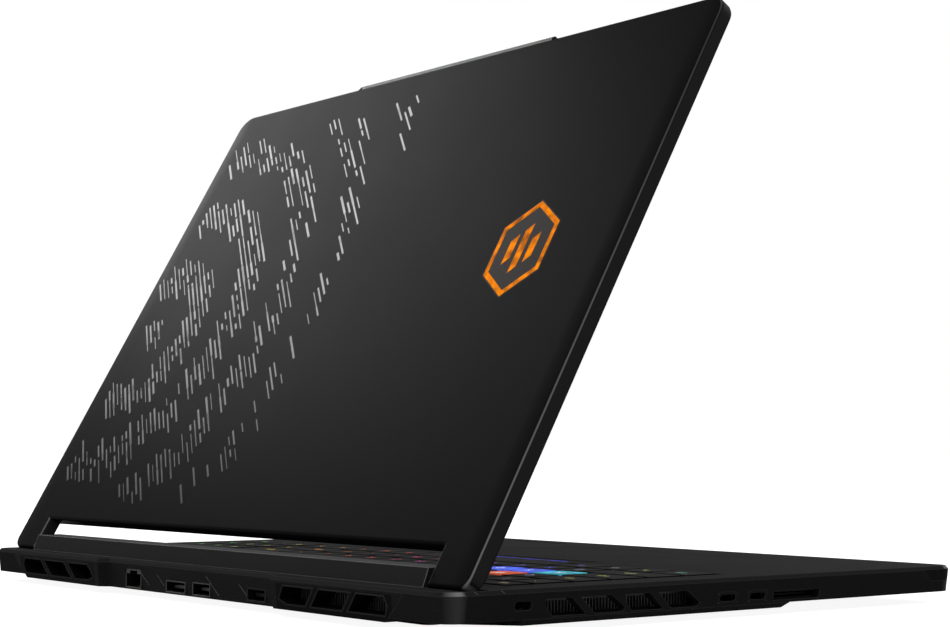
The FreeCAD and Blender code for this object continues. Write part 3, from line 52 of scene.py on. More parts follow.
# %% Camera at the picture's viewing angle
camera_right = Vector((-0.620810246, -0.783953026, 0.003506048))
camera_down = Vector((0.056151287, -0.048925898, -0.997222788))
camera_ahead = Vector((0.781947359, -0.618889255, 0.074393670))
camera_place = Vector((-0.669188943, 0.511502347, 0.061349959))
lens = bpy.data.cameras.new("studio_camera")
lens.sensor_fit = "HORIZONTAL"
lens.sensor_width = 36.0
lens.lens = 70.583
lens.clip_start = 0.01
camera = bpy.data.objects.new("studio_camera", lens)
camera_turn = Matrix((camera_right, -camera_down, -camera_ahead)).transposed()
camera.matrix_world = Matrix.Translation(camera_place) @ camera_turn.to_4x4()
bpy.context.scene.collection.objects.link(camera)
bpy.context.scene.camera = camera
print("camera stands", round(camera_place.length, 3), "m from the middle of the base")

# %% [markdown]
# ## One helper for every node tree
# Materials and Geometry Nodes are both trees of nodes. One small function adds a node, sets its
# properties, and fills or links its inputs, so that a finish reads as a list of what it is made of.

# %% Helpers for node trees and colours
def add(tree, kind, inputs=None, **settings):
    """Add a node: settings are its properties, inputs are values or sockets by name or number."""
    made = tree.nodes.new(kind)
    for key, value in settings.items():
        setattr(made, key, value)
    for key, value in (inputs or {}).items():
        if isinstance(value, bpy.types.NodeSocket):
            tree.links.new(value, made.inputs[key])
        else:
            made.inputs[key].default_value = value
    return made


def maths(tree, operation, first, second=0.0):
    """One sum on two numbers or sockets."""
    return add(tree, "ShaderNodeMath", {0: first, 1: second}, operation=operation).outputs[0]


def vectors(tree, operation, first, second=(0.0, 0.0, 0.0)):
    """One sum on two vectors or sockets: the node's vector and its number."""
    return add(tree, "ShaderNodeVectorMath", {0: first, 1: second}, operation=operation).outputs


def parts(tree, vector):
    """The X, Y and Z of a vector, by name."""
    return add(tree, "ShaderNodeSeparateXYZ", {0: vector}).outputs


def ranged(tree, value, low, high, to_low=0.0, to_high=1.0):
    """A value's share of the way from low to high, held there, as a number between two others."""
    return add(tree, "ShaderNodeMapRange", {"Value": value, "From Min": low, "From Max": high,
                                            "To Min": to_low, "To Max": to_high}).outputs[0]


def colour(code):
    """A hex sRGB colour as linear red, green, blue and alpha."""
    channels = [int(code[i:i + 2], 16) / 255 for i in (1, 3, 5)]
    linear = [c / 12.92 if c <= 0.04045 else ((c + 0.055) / 1.055) ** 2.4 for c in channels]
    return (*linear, 1.0)


def new_finish(name):
    """An empty material with its tree, shader and Object coordinates."""
    material = bpy.data.materials.new(name)
    material.use_nodes = True
    tree = material.node_tree
    tree.nodes.clear()
    shader = add(tree, "ShaderNodeBsdfPrincipled")
    add(tree, "ShaderNodeOutputMaterial", {"Surface": shader.outputs[0]})
    place = add(tree, "ShaderNodeTexCoord").outputs["Object"]
    return material, tree, shader, place


print("charcoal in linear light:", [round(c, 4) for c in colour("#232323")])

# %% [markdown]
# ## Stage and light
# A product picture of a black thing needs big soft lamps: a black surface shows little of its own
# colour and mostly the reflection of what stands round it. The floor and the world are white to the
# camera and to mirror rays, and the floor still takes the laptop's shadow.

# %% White world and floor
scene = bpy.context.scene
scene.view_settings.view_transform = "Standard"
AMBIENT = 0.35
world = bpy.data.worlds.new("studio")
world.use_nodes = True
scene.world = world
sky = world.node_tree
sky.nodes.clear()


def seen_directly(tree):
    """One for camera, mirror and glass rays, nought for light that only falls on things."""
    path = add(tree, "ShaderNodeLightPath")
    direct = maths(tree, "MAXIMUM", path.outputs["Is Camera Ray"], path.outputs["Is Glossy Ray"])
    return maths(tree, "MAXIMUM", direct, path.outputs["Is Transmission Ray"])


white_or_dim = ranged(sky, seen_directly(sky), 0.0, 1.0, AMBIENT, 1.0)
sky_light = add(sky, "ShaderNodeBackground", {"Color": (1, 1, 1, 1), "Strength": white_or_dim})
add(sky, "ShaderNodeOutputWorld", {"Surface": sky_light.outputs[0]})
print("world level for things that it lights:", AMBIENT)

# %% [markdown]
# The floor is a sheet of paper. What the camera sees of it is a glow, which gets to full white away from
# the laptop, and a little plain paper on top, in which the shadow shows. For the light that it throws
# back up it is a light grey paper, or the laptop's walls would be lit too strongly from below.

# %% Floor
FLOOR_HALF = 30.0
FLOOR_DROP = 0.2 * MM
GLOW_NEAR, GLOW_FAR = 0.92, 1.0
GLOW_STARTS, GLOW_ENDS = 0.3, 1.1
floor_mesh = bpy.data.meshes.new("floor")
corners = [(x, y, -FLOOR_DROP) for x, y in ((-1, -1), (1, -1), (1, 1), (-1, 1))]
floor_mesh.from_pydata(corners, [], [(0, 1, 2, 3)])
floor_mesh.transform(Matrix.Diagonal((FLOOR_HALF, FLOOR_HALF, 1, 1)))
floor = bpy.data.objects.new("floor", floor_mesh)
scene.collection.objects.link(floor)
paper = bpy.data.materials.new("white_paper")
paper.use_nodes = True
sheet = paper.node_tree
sheet.nodes.clear()
on_sheet = add(sheet, "ShaderNodeTexCoord").outputs["Object"]
fibres = add(sheet, "ShaderNodeTexNoise", {"Vector": on_sheet, "Scale": 40.0}).outputs[0]
tone = add(sheet, "ShaderNodeMix", {0: fibres, 6: colour("#b4b4b2"), 7: colour("#bcbcbc")}, data_type="RGBA")
matt = add(sheet, "ShaderNodeBsdfDiffuse", {"Color": tone.outputs[2]})
veil = add(sheet, "ShaderNodeBsdfDiffuse", {"Color": colour("#8c8c8c")})
away = vectors(sheet, "LENGTH", on_sheet)["Value"]
level = ranged(sheet, away, GLOW_STARTS, GLOW_ENDS, GLOW_NEAR, GLOW_FAR)
glow = add(sheet, "ShaderNodeEmission", {"Color": (1, 1, 1, 1), "Strength": level})
bright_sheet = add(sheet, "ShaderNodeAddShader", {0: veil.outputs[0], 1: glow.outputs[0]})
both = add(sheet, "ShaderNodeMixShader", {0: seen_directly(sheet), 1: matt.outputs[0],
                                          2: bright_sheet.outputs[0]})
add(sheet, "ShaderNodeOutputMaterial", {"Surface": both.outputs[0]})
floor_mesh.materials.append(paper)
print("floor", FLOOR_HALF * 2, "m wide")

# %% [markdown]
# Four soft lamps: one stands where the lid mirrors it towards the camera, and makes the long soft
# brightening at the lid's far top corner. The others only fill: from behind, from the front and from above.


# %% Soft lamps
def softbox(name, place, target, size, watts):
    """An area lamp that looks at a target."""
    lamp = bpy.data.lights.new(name, "AREA")
    lamp.shape = "RECTANGLE"
    lamp.size, lamp.size_y = size
    lamp.energy = watts
    box = bpy.data.objects.new(name, lamp)
    place = Vector(place)
    aim = (Vector(target) - place).to_track_quat("-Z", "Y")
    box.matrix_world = Matrix.Translation(place) @ aim.to_matrix().to_4x4()
    box.visible_camera = False
    scene.collection.objects.link(box)
    return box


LID_MIDDLE = (0.0, 0.06, 0.13)
LID_FAR_TOP = (0.17, 0.0, 0.229)
softbox("highlight_softbox", (1.2, 0.10, 0.86), LID_FAR_TOP, (0.62, 0.62), 14.5)
softbox("rear_softbox", (-0.7, 1.4, 1.3), LID_MIDDLE, (1.0, 1.0), 22.0)
softbox("front_softbox", (-0.5, -1.5, 1.2), LID_MIDDLE, (1.2, 0.8), 20.0)
softbox("top_softbox", (-0.3, -0.1, 1.6), (0, 0, 0), (1.4, 1.0), 14.0)

# %% [markdown]
# ## Moulded and painted black
# Nearly everything outside is black, but not one black: the lid is satin paint, the case is grained
# plastic, the hinge bar is smoother. One family makes them all: a fine grain for the moulded skin, a
# little unevenness from handling, and a small rounding at each edge, which catches the light as a real
# moulded edge does. The edges are also painted a lighter colour: a painted highlight, with some wear.
# Object coordinates are metres here, so a grain of 0.3 mm is a scale of 1/0.0003.
# In a white studio a mirror-like shine would turn black to grey, and these skins are etched so that they
# scatter it: their specular level is a small part of that of polished plastic.


# %% A family of grained plastics
# Noise seldom leaves this span.
NOISE_SPAN = (0.3, 0.7)


def blotches(tree, place, size, low, high):
    """Broad, soft variation between two numbers."""
    cloud = add(tree, "ShaderNodeTexNoise", {"Vector": place, "Scale": 1 / size, "Detail": 3.0})
    return ranged(tree, cloud.outputs[0], *NOISE_SPAN, low, high)


def mixed(tree, share, first, second):
    """A colour between two: each is a hex code or a socket."""
    ends = [colour(end) if isinstance(end, str) else end for end in (first, second)]
    return add(tree, "ShaderNodeMix", {0: share, 6: ends[0], 7: ends[1]}, data_type="RGBA").outputs[2]


def edge_sheen_and_wear(tree, radius):
    """The rounded normal near edges, and a mask that is one on them, where edges are painted lighter."""
    rounded = add(tree, "ShaderNodeBevel", {"Radius": radius}, samples=6).outputs[0]
    flat = add(tree, "ShaderNodeNewGeometry").outputs["True Normal"]
    return rounded, ranged(tree, vectors(tree, "DOT_PRODUCT", rounded, flat)["Value"], 0.99, 0.90)


def bumped(tree, height, strength, distance, normal):
    """A normal bent by a height."""
    return add(tree, "ShaderNodeBump", {"Strength": strength, "Distance": distance, "Height": height,
                                        "Normal": normal}).outputs[0]


def wire(tree, shader, **sources):
    """Link sockets to a shader's inputs: an underscore in a name stands for a space."""
    for key, source in sources.items():
        tree.links.new(source, shader.inputs[key.replace("_", " ")])


def moulded(name, dark, light, grain_mm, rough, relief_mm, gloss, sheen_and_wear_tone, edge_mm=0.25,
            crown=None, painted_light=None):
    """Grained plastic or paint: dark to light over the grain, and a lighter colour painted on the edges: a
    painted highlight, with some wear.

    A crown takes the tree, the place and the normal, and returns a bent normal. The last argument takes the
    tree, the place and the colour, and returns the colour with a painted highlight on it.
    """
    material, tree, shader, place = new_finish(name)
    pores = add(tree, "ShaderNodeTexNoise", {"Vector": place, "Scale": 1 / (grain_mm * MM), "Detail": 2.0,
                                             "Roughness": 0.6}).outputs[0]
    speck = ranged(tree, pores, *NOISE_SPAN)
    speck = maths(tree, "MULTIPLY", speck, blotches(tree, place, 0.05, 0.8, 1.0))
    rounded, edge = edge_sheen_and_wear(tree, edge_mm * MM)
    tone = mixed(tree, speck, dark, light)
    # The painted highlights of the lid's round and of the case's corners go on the tone here.
    tone = painted_light(tree, place, tone) if painted_light else tone
    skin = crown(tree, place, rounded) if crown else rounded
    # The edges are painted lighter here: a painted highlight along them, with some wear.
    wire(tree, shader, Base_Color=mixed(tree, edge, tone, sheen_and_wear_tone),
         Roughness=blotches(tree, place, 0.03, rough - 0.02, rough + 0.02),
         Normal=bumped(tree, pores, 0.6, relief_mm * MM, skin))
    shader.inputs["Specular IOR Level"].default_value = gloss
    return material


def sizes_of_normal(tree):
    """How far a surface faces along X, Y and Z, each nought to one."""
    facing = add(tree, "ShaderNodeNewGeometry").outputs["Normal"]
    return parts(tree, vectors(tree, "ABSOLUTE", facing)["Vector"])


ROLL_STARTS, ROLL_ENDS, ROLL_FALL = 167 * MM, 177 * MM, 0.6 * MM


def rolled_sides(tree, place, normal):
    """The pressed lid falls away over its last centimetre on both sides."""
    across = maths(tree, "ABSOLUTE", parts(tree, place)["X"])
    near_edge = ranged(tree, across, ROLL_STARTS, ROLL_ENDS)
    return bumped(tree, maths(tree, "MULTIPLY", near_edge, near_edge), 1.0, -ROLL_FALL, normal)


# The painted highlight on the round is strongest at the lid's foot and weakest at its top: heights above the
# table.
LID_FOOT, LID_TOP = 0.02, 0.22


def painted_round_highlight(tree, place, tone):
    """The round between the lid's back and its sides gets a painted highlight, strongest near the hinge; the
    side faces are painted a lighter grey.
    """
    across = sizes_of_normal(tree)["X"]
    off = maths(tree, "ABSOLUTE", maths(tree, "SUBTRACT", across, 0.55))
    line = ranged(tree, off, 0.3, 0.1)
    strength = ranged(tree, parts(tree, place)["Z"], LID_FOOT, LID_TOP, 1.0, 0.25)
    sides = mixed(tree, ranged(tree, across, 0.85, 0.95), tone, "#1c1c1c")
    return mixed(tree, maths(tree, "MULTIPLY", line, strength), sides, "#585858")


# The painted highlight on a corner is brightest where it faces mainly sideways: the slope of its normal, Y
# over X.
BRIGHTEST_CORNER_SLOPE = 0.35
# Only corners this far out to the side get the painted highlight.
CORNER_HIGHLIGHT_FROM = 165 * MM


def painted_corner_highlight(tree, place, tone):
    """Upright corners get a painted highlight: lighter, and most on the bevel above them."""
    sizes = sizes_of_normal(tree)
    x, y, z = (sizes[axis] for axis in ("X", "Y", "Z"))
    level = maths(tree, "ADD", maths(tree, "MULTIPLY", x, x), maths(tree, "MULTIPLY", y, y))
    turn = maths(tree, "DIVIDE", y, maths(tree, "MAXIMUM", x, 0.01))
    rise = maths(tree, "DIVIDE", maths(tree, "MULTIPLY", turn, 2 * BRIGHTEST_CORNER_SLOPE),
                 maths(tree, "ADD", maths(tree, "MULTIPLY", turn, turn), BRIGHTEST_CORNER_SLOPE ** 2))
    # The painted highlight of each corner, from the slope of its normal.
    corner_shine = ranged(tree, rise, 0.4, 1.0, 0.0, 0.9)
    bevel = ranged(tree, z, 0.2, 0.6)
    across = maths(tree, "ABSOLUTE", parts(tree, place)["X"])
    outer = maths(tree, "MULTIPLY", maths(tree, "GREATER_THAN", level, 0.1),
                  maths(tree, "GREATER_THAN", across, CORNER_HIGHLIGHT_FROM))
    share = maths(tree, "MULTIPLY", corner_shine, outer)
    return mixed(tree, share, tone, mixed(tree, bevel, "#303030", "#626262"))


# Satin black paint on the lid: deep, faintly grainy, a long soft highlight; the round of its sides has a
# painted highlight and the side faces are painted lighter.
satin_paint = moulded("satin_black_paint", "#080808", "#0d0d0d", 0.35, 0.36, 0.003, 0.004, "#242424",
                      crown=rolled_sides, painted_light=painted_round_highlight)
# Case plastic: a dry, fine-pored black that goes grey where light grazes it, with a painted highlight on its
# upright corners.
case_plastic = moulded("grained_case_plastic", "#121212", "#1b1b1b", 0.45, 0.62, 0.012, 0.002, "#303030",
                       edge_mm=0.45, painted_light=painted_corner_highlight)
# The hinge bar is smoother and a little lighter, with a painted highlight along its edge.
bar_plastic = moulded("smooth_bar_plastic", "#141414", "#1a1a1a", 0.6, 0.5, 0.004, 0.01, "#686868", 0.6)
# The bottom cover is coarse, so that scratches don't show.
cover_plastic = moulded("coarse_cover_plastic", "#0c0c0c", "#161616", 0.8, 0.66, 0.03, 0.014, "#2a2a2a")
# The bezel round the screen is a matt film.
bezel_film = moulded("matt_bezel_film", "#0d0d0d", "#131313", 0.3, 0.6, 0.005, 0.03, "#242424")
# Keycaps: oily-smooth plastic, the rims painted lighter: a painted sheen, with some wear.
keycap_plastic = moulded("keycap_plastic", "#0d0d0d", "#141414", 0.25, 0.55, 0.004, 0.003, "#2c2c2c", 0.35)
# Rubber feet: dull, dusty black.
foot_rubber = moulded("foot_rubber", "#0e0e0e", "#191919", 0.5, 0.8, 0.02, 0.02, "#262626")
# Fan and speaker housings: plain technical plastic.
fan_plastic = moulded("fan_plastic", "#0c0c0c", "#151515", 0.7, 0.6, 0.01, 0.03, "#202020")
# Chips are matt resin, the battery is in a shrink wrap, and the sockets' cores are hard plastic.
chip_resin = moulded("chip_resin", "#101012", "#1a1a1d", 0.3, 0.5, 0.004, 0.12, "#33343a")
battery_wrap = moulded("battery_wrap", "#0f0f10", "#19191b", 2.0, 0.4, 0.02, 0.12, "#26262a")
socket_plastic = moulded("socket_plastic", "#080808", "#101010", 0.3, 0.5, 0.003, 0.03, "#444444", 0.15)
# Black lip at the lid's top edge, between its ribs, and the ink of the marks on the deck.
lip_plastic = moulded("black_lip_plastic", "#060606", "#0c0c0c", 0.3, 0.55, 0.004, 0.0, "#161616", 0.15)
print("plastics:", [m.name for m in bpy.data.materials if m.use_nodes])

# %% [markdown]
# ## The rear panel's relief
# The strip between the rear corners is moulded with a tiny diagonal weave, and stays plain round the
# vents. Two families of slanted ridges crossing each other give the weave: each is a sine of the place
# along a slanted line. They are some 1.6 mm apart, as in the picture.

# %% Rear panel finish
WEAVE = 1.6 * MM
WEAVE_LEAN = 1.4
VENT_ZONE = (73.5 * MM, 147.5 * MM)
VENT_ZONE_TOP = 12.6 * MM


def slanted(tree, x, z, lean):
    """Ridges along one slanted direction of the X-Z plane, nought to one."""
    along = maths(tree, "ADD", maths(tree, "MULTIPLY", z, lean), x)
    phase = maths(tree, "MULTIPLY", along, 2 * math.pi / WEAVE)
    return ranged(tree, maths(tree, "SINE", phase), -1.0, 1.0)


def woven_panel():
    """Black plastic with a crossed relief, its ridges painted lighter and its hollows darker, plain inside
    the vent frames.
    """
    material, tree, shader, place = new_finish("woven_relief_plastic")
    axes = parts(tree, place)
    x, z = axes["X"], axes["Z"]
    ridges = maths(tree, "MULTIPLY", slanted(tree, x, z, WEAVE_LEAN), slanted(tree, x, z, -WEAVE_LEAN))
    pores = add(tree, "ShaderNodeTexNoise", {"Vector": place, "Scale": 1 / (0.4 * MM)}).outputs[0]
    side = maths(tree, "ABSOLUTE", x)
    woven = maths(tree, "MAXIMUM", maths(tree, "LESS_THAN", side, VENT_ZONE[0]),
                  maths(tree, "GREATER_THAN", side, VENT_ZONE[1]))
    woven = maths(tree, "MAXIMUM", woven, maths(tree, "GREATER_THAN", z, VENT_ZONE_TOP))
    weave = maths(tree, "MULTIPLY", ridges, woven)
    rounded, edge = edge_sheen_and_wear(tree, 0.2 * MM)
    # The ridges of the weave are painted lighter and its hollows darker: painted highlight and shade that
    # follow the relief. The edges get a painted highlight.
    tone = mixed(tree, edge, mixed(tree, weave, "#070707", "#242424"), "#2c2c2c")
    fine = bumped(tree, pores, 0.4, 0.01 * MM, rounded)
    wire(tree, shader, Base_Color=tone, Roughness=blotches(tree, place, 0.02, 0.5, 0.6),
         Normal=bumped(tree, weave, 0.8, 0.16 * MM, fine))
    shader.inputs["Specular IOR Level"].default_value = 0.008
    return material


woven_plastic = woven_panel()
print("weave pitch", WEAVE / MM, "mm")

# %% [markdown]
# ## Metals
# The sockets' shells, the fins and the screws are metal. Rolled and drawn metal is streaked along one
# direction, which a noise stretched by a Mapping node gives, in colour and in roughness.

# %% A family of streaked metals
def streaked_metal(name, dark, light, streak_mm, rough, sheen_and_wear_tone, metallic=1.0):
    """Rolled metal: streaks as long as streak_mm says along each axis, rubbed bright on the edges."""
    material, tree, shader, place = new_finish(name)
    stretched = add(tree, "ShaderNodeMapping", {"Vector": place, "Scale": [1 / (s * MM) for s in streak_mm]})
    streaks = add(tree, "ShaderNodeTexNoise", {"Vector": stretched.outputs[0], "Scale": 1.0,
                                               "Detail": 3.0}).outputs[0]
    rounded, edge = edge_sheen_and_wear(tree, 0.12 * MM)
    tone = mixed(tree, edge, mixed(tree, streaks, dark, light), sheen_and_wear_tone)
    wire(tree, shader, Base_Color=tone,
         Roughness=ranged(tree, streaks, 0.0, 1.0, rough - 0.08, rough + 0.08),
         Normal=bumped(tree, streaks, 0.3, 0.004 * MM, rounded))
    shader.inputs["Metallic"].default_value = metallic
    return material


# Blackened steel of the socket shells: dark inside, rubbed bright at the mouth.
socket_steel = streaked_metal("blackened_socket_steel", "#161616", "#262626", (2.0, 0.3, 0.3), 0.45,
                              "#404040")
# Blackened aluminium of the fins: nearly black, grey on the fin edges.
fin_metal = streaked_metal("blackened_fin_aluminium", "#2a2a2a", "#484848", (0.4, 3.0, 0.4), 0.55,
                           "#6a6a6a", 0.6)
# Zinc-plated screws and hinge steel.
plated_steel = streaked_metal("zinc_plated_steel", "#5a5a5c", "#7c7c7e", (0.6, 0.6, 0.6), 0.38, "#a8a8aa")
# Copper heat pipes, a little oxidised.
pipe_copper = streaked_metal("drawn_copper", "#8a4b2b", "#b06a42", (8.0, 0.8, 0.8), 0.35, "#d08a5a")
# Gold on the contacts.
contact_gold = streaked_metal("gold_plating", "#a67c30", "#c9a04a", (0.5, 2.0, 0.5), 0.3, "#e0c070")
# Brushed grey metal of the lip's ribs.
lip_metal = streaked_metal("brushed_rib_metal", "#565656", "#787878", (3.0, 0.4, 0.4), 0.5, "#8c8c8c", 0.3)
print("metals:", socket_steel.name, fin_metal.name, plated_steel.name, pipe_copper.name, contact_gold.name)

# %% [markdown]
# ## Boards, glass and light
# Inside there is a circuit board with its tracks and a wrapped battery. Outside there are the dark
# screen, the satin touchpad, and the pieces that glow: a glowing key is a milky cap over a lamp, so its
# colour is in the light and only faintly in the plastic.

# %% Boards, screen and touchpad
def circuit_board():
    """Green-black lacquer with tracks: thin lines along the cells of a stretched brick pattern."""
    material, tree, shader, place = new_finish("circuit_board_lacquer")
    tracks = add(tree, "ShaderNodeTexBrick", {"Vector": place, "Scale": 1 / (9 * MM), "Mortar Size": 0.012,
                                              "Color1": colour("#0c2416"), "Color2": colour("#0f2d1c"),
                                              "Mortar": colour("#2f5a3a")})
    pads = add(tree, "ShaderNodeTexVoronoi", {"Vector": place, "Scale": 1 / (4 * MM)}).outputs["Distance"]
    dots = ranged(tree, pads, 0.12, 0.06)
    relief = add(tree, "ShaderNodeBump", {"Strength": 0.4, "Distance": 0.03 * MM,
                                          "Height": tracks.outputs[1]})
    wire(tree, shader, Base_Color=mixed(tree, dots, tracks.outputs[0], "#8d8a6a"),
         Roughness=blotches(tree, place, 0.01, 0.3, 0.45), Normal=relief.outputs[0])
    return material


def dark_glass(name, dark, light, cell_mm, rough, gloss, coat):
    """A dark panel under glass, with the faint grid of its cells."""
    material, tree, shader, place = new_finish(name)
    grid = add(tree, "ShaderNodeTexVoronoi", {"Vector": place, "Scale": 1 / (cell_mm * MM)},
               distance="CHEBYCHEV")
    wire(tree, shader, Base_Color=mixed(tree, grid.outputs["Distance"], dark, light),
         Roughness=blotches(tree, place, 0.04, rough - 0.02, rough + 0.02),
         Normal=edge_sheen_and_wear(tree, 0.15 * MM)[0])
    shader.inputs["Specular IOR Level"].default_value = gloss
    shader.inputs["Coat Weight"].default_value = coat
    shader.inputs["Coat Roughness"].default_value = 0.12
    return material


board_lacquer = circuit_board()
# The screen is off: deep blue-black under an anti-glare film.
screen_glass = dark_glass("anti_glare_screen_glass", "#05060a", "#0b0d12", 0.4, 0.3, 0.2, 0.1)
# Etched glass of the touchpad, as dull as the deck.
touch_glass = dark_glass("etched_touch_glass", "#121212", "#1a1a1a", 0.3, 0.62, 0.002, 0.0)
# Smoked acrylic of the emblem window, no lighter than the paint.
smoked_acrylic = dark_glass("smoked_acrylic", "#0b0806", "#110c09", 0.5, 0.36, 0.012, 0.0)
# The front light bar, unlit: a smoked diffuser as dark as the case.
bar_diffuser = dark_glass("smoked_bar_diffuser", "#0f0f10", "#161617", 1.0, 0.55, 0.003, 0.0)
print("boards and glass:", board_lacquer.name, screen_glass.name, touch_glass.name, smoked_acrylic.name)


# %% Lit finishes
MILKY_GLOSS = 0.03


def lit(tree, shader, place, base, light, power, gloss=MILKY_GLOSS):
    """Wire a milky skin and the light that comes through it."""
    rough = blotches(tree, place, 0.004, 0.5, 0.6)
    wire(tree, shader, Base_Color=base, Emission_Color=light, Roughness=rough)
    shader.inputs["Emission Strength"].default_value = power
    shader.inputs["Specular IOR Level"].default_value = gloss


def glowing(name, deep, bright, power, patch_mm, gloss=MILKY_GLOSS):
    """A milky piece over a lamp: brighter and paler where the lamp is near."""
    material, tree, shader, place = new_finish(name)
    cloud = blotches(tree, place, patch_mm * MM, 0.0, 1.0)
    base = mixed(tree, cloud, "#141414", deep)
    lit(tree, shader, place, base, mixed(tree, cloud, deep, bright), power, gloss)
    return material


orange_cap = glowing("orange_lit_cap", "#b8401c", "#e06430", 0.65, 6.0)
cyan_cap = glowing("cyan_lit_cap", "#2490a4", "#48bccc", 0.62, 6.0)
blue_cap = glowing("blue_lit_cap", "#2c44cc", "#5470ea", 0.7, 6.0)
amber_light = glowing("amber_light", "#d47200", "#e87e04", 0.42, 5.0, gloss=0.002)
blue_line = glowing("blue_light_line", "#2a2fb0", "#3d49e8", 0.5, 9.0)
white_mark = glowing("white_light_mark", "#b8c4d0", "#f4f8ff", 0.9, 2.0)

HUES = ((0.0, "#2fb8b0"), (0.11, "#b8a83a"), (0.23, "#4a58d8"), (0.35, "#a03ac8"), (0.56, "#d8382a"),
        (0.69, "#d87820"), (0.86, "#c8b040"), (1.0, "#4ab860"))
HUE_RUN = (-0.16, 0.16)
HUE_SLANT = 0.4


def rainbow(name, power, base):
    """Lamps of changing colour under a keyboard: the hue runs across it on a slant."""
    material, tree, shader, place = new_finish(name)
    axes = parts(tree, place)
    run = maths(tree, "ADD", maths(tree, "MULTIPLY", axes["Y"], HUE_SLANT), axes["X"])
    hues = add(tree, "ShaderNodeValToRGB", {0: ranged(tree, run, *HUE_RUN)})
    stops = hues.color_ramp.elements
    stops[0].position, stops[0].color = HUES[0][0], colour(HUES[0][1])
    stops[1].position, stops[1].color = HUES[-1][0], colour(HUES[-1][1])
    for position, code in HUES[1:-1]:
        stops.new(position).color = colour(code)
    hue = hues.outputs[0]
    lit(tree, shader, place, mixed(tree, blotches(tree, place, 0.004, 0.0, 0.3), base, hue), hue, power)
    return material


legend_light = rainbow("backlit_legend", 0.85, "#202020")
# The plate under the keys glows faintly in the same colours: painted light for the spill of the key lamps.
painted_spill_film = rainbow("lamp_spill_on_black_film", 0.05, "#0d0d0d")
print("lit finishes:", orange_cap.name, cyan_cap.name, blue_cap.name, amber_light.name, legend_light.name)

# %% [markdown]
# ## Dressing the solids
# Every CAD node keeps its own mesh, and only its material slots change. A table of finish to nodes is
# easier to read, and to repaint, than a line for each node.

# %% Give every node its finish
FINISHES = (
    (satin_paint, ["lid_cover"]),
    (case_plastic, ["top_case"]),
    (woven_plastic, ["rear_panel"]),
    (bar_plastic, ["hinge_bar"]),
    (cover_plastic, ["bottom_cover"]),
    (bezel_film, ["lid_bezel", "camera_module"]),
    (painted_spill_film, ["keyboard_plate"]),
    (screen_glass, ["display_panel"]),
    (touch_glass, ["touchpad"]),
    (smoked_acrylic, ["lid_emblem"]),
    (bar_diffuser, ["front_light_bar"]),
    (lip_plastic, ["camera_lip"]),
    (foot_rubber, ["rear_feet", "front_feet", "lid_bumpers"]),
    (keycap_plastic, ["function_keys", "number_keys", "upper_letter_keys", "home_letter_keys",
                      "lower_letter_keys", "bottom_keys", "number_pad_keys", "space_bar", "power_button",
                      "camera_shutter"]),
    (orange_cap, ["key_w"]),
    (cyan_cap, ["key_a"]),
    (blue_cap, ["key_s", "key_d"]),
    (board_lacquer, ["mainboard", "memory_modules", "storage_drives", "wireless_card"]),
    (chip_resin, ["processor_chips"]),
    (pipe_copper, ["heat_pipes"]),
    (fan_plastic, ["fan_housing_left", "fan_housing_right", "fan_rotor_left", "fan_rotor_right",
                   "speakers"]),
    (fin_metal, ["rear_fin_stacks", "side_fin_stacks"]),
    (battery_wrap, ["battery"]),
    (socket_steel, ["network_port", "video_port", "rear_data_port", "slim_data_ports", "right_data_ports"]),
    (socket_plastic, ["power_inlet", "card_reader", "audio_jack"]),
    (plated_steel, ["bottom_screws", "lock_plate", "hinge_bracket_left", "hinge_bracket_right",
                    "hinge_arm_left", "hinge_arm_right"]),
)
for material, names in FINISHES:
    for name in names:
        slots = frame["nodes"][name].data.materials
        slots.clear()
        slots.append(material)
dressed = sum(len(names) for material, names in FINISHES)
print("dressed", dressed, "of", len(frame["nodes"]), "nodes")

# %% [markdown]
# ## Helpers for small moulded pieces
# The added pieces are plates and frames: an outline with a chamfered top. They are built in bmesh in
# place, so each object stays at the origin.

# %% Mesh helpers
def piece(name, mesh, body, material):
    """Link a finished mesh as a piece that rides on a body."""
    mesh.name = name
    mesh.materials.clear()
    mesh.materials.append(material)
    obj = bpy.data.objects.new(name, mesh)
    scene.collection.objects.link(obj)
    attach(obj, body)
    print(name, "faces:", len(mesh.polygons))
    return obj


def mesh_from(build, turn=None):
    """Run a bmesh builder, close and orient the result, and turn it into place."""
    bm = bmesh.new()
    build(bm)
    bmesh.ops.remove_doubles(bm, verts=bm.verts, dist=1e-7)
    bmesh.ops.recalc_face_normals(bm, faces=bm.faces)
    mesh = bpy.data.meshes.new("piece")
    bm.to_mesh(mesh)
    bm.free()
    if turn is not None:
        mesh.transform(turn)
    return mesh


def ring(bm, loops):
    """Join closed loops of points, each to the next, with quads."""
    rows = [[bm.verts.new(p) for p in loop] for loop in loops]
    for low, high in zip(rows, rows[1:]):
        for i in range(len(low)):
            j = (i + 1) % len(low)
            bm.faces.new((low[i], low[j], high[j], high[i]))
    return rows


def grow(points, margin):
    """A counter-clockwise convex outline moved outwards by a margin."""
    count = len(points)
    moved = []
    for i in range(count):
        before = (Vector(points[i]) - Vector(points[i - 1])).normalized()
        after = (Vector(points[(i + 1) % count]) - Vector(points[i])).normalized()
        n1 = Vector((before.y, -before.x))
        n2 = Vector((after.y, -after.x))
        mitre = (n1 + n2) / (1 + n1.dot(n2))
        moved.append(tuple(Vector(points[i]) + mitre * margin))
    return moved


def plate(bm, outline, lift, base, thick, chamfer):
    """A plate with a chamfered top: lift turns (u, v, height) into a point."""
    rows = ring(bm, [[lift(u, v, base) for u, v in outline],
                     [lift(u, v, base + thick - chamfer) for u, v in outline],
                     [lift(u, v, base + thick) for u, v in grow(outline, -chamfer)]])
    bm.faces.new(rows[0])
    bm.faces.new(rows[-1])


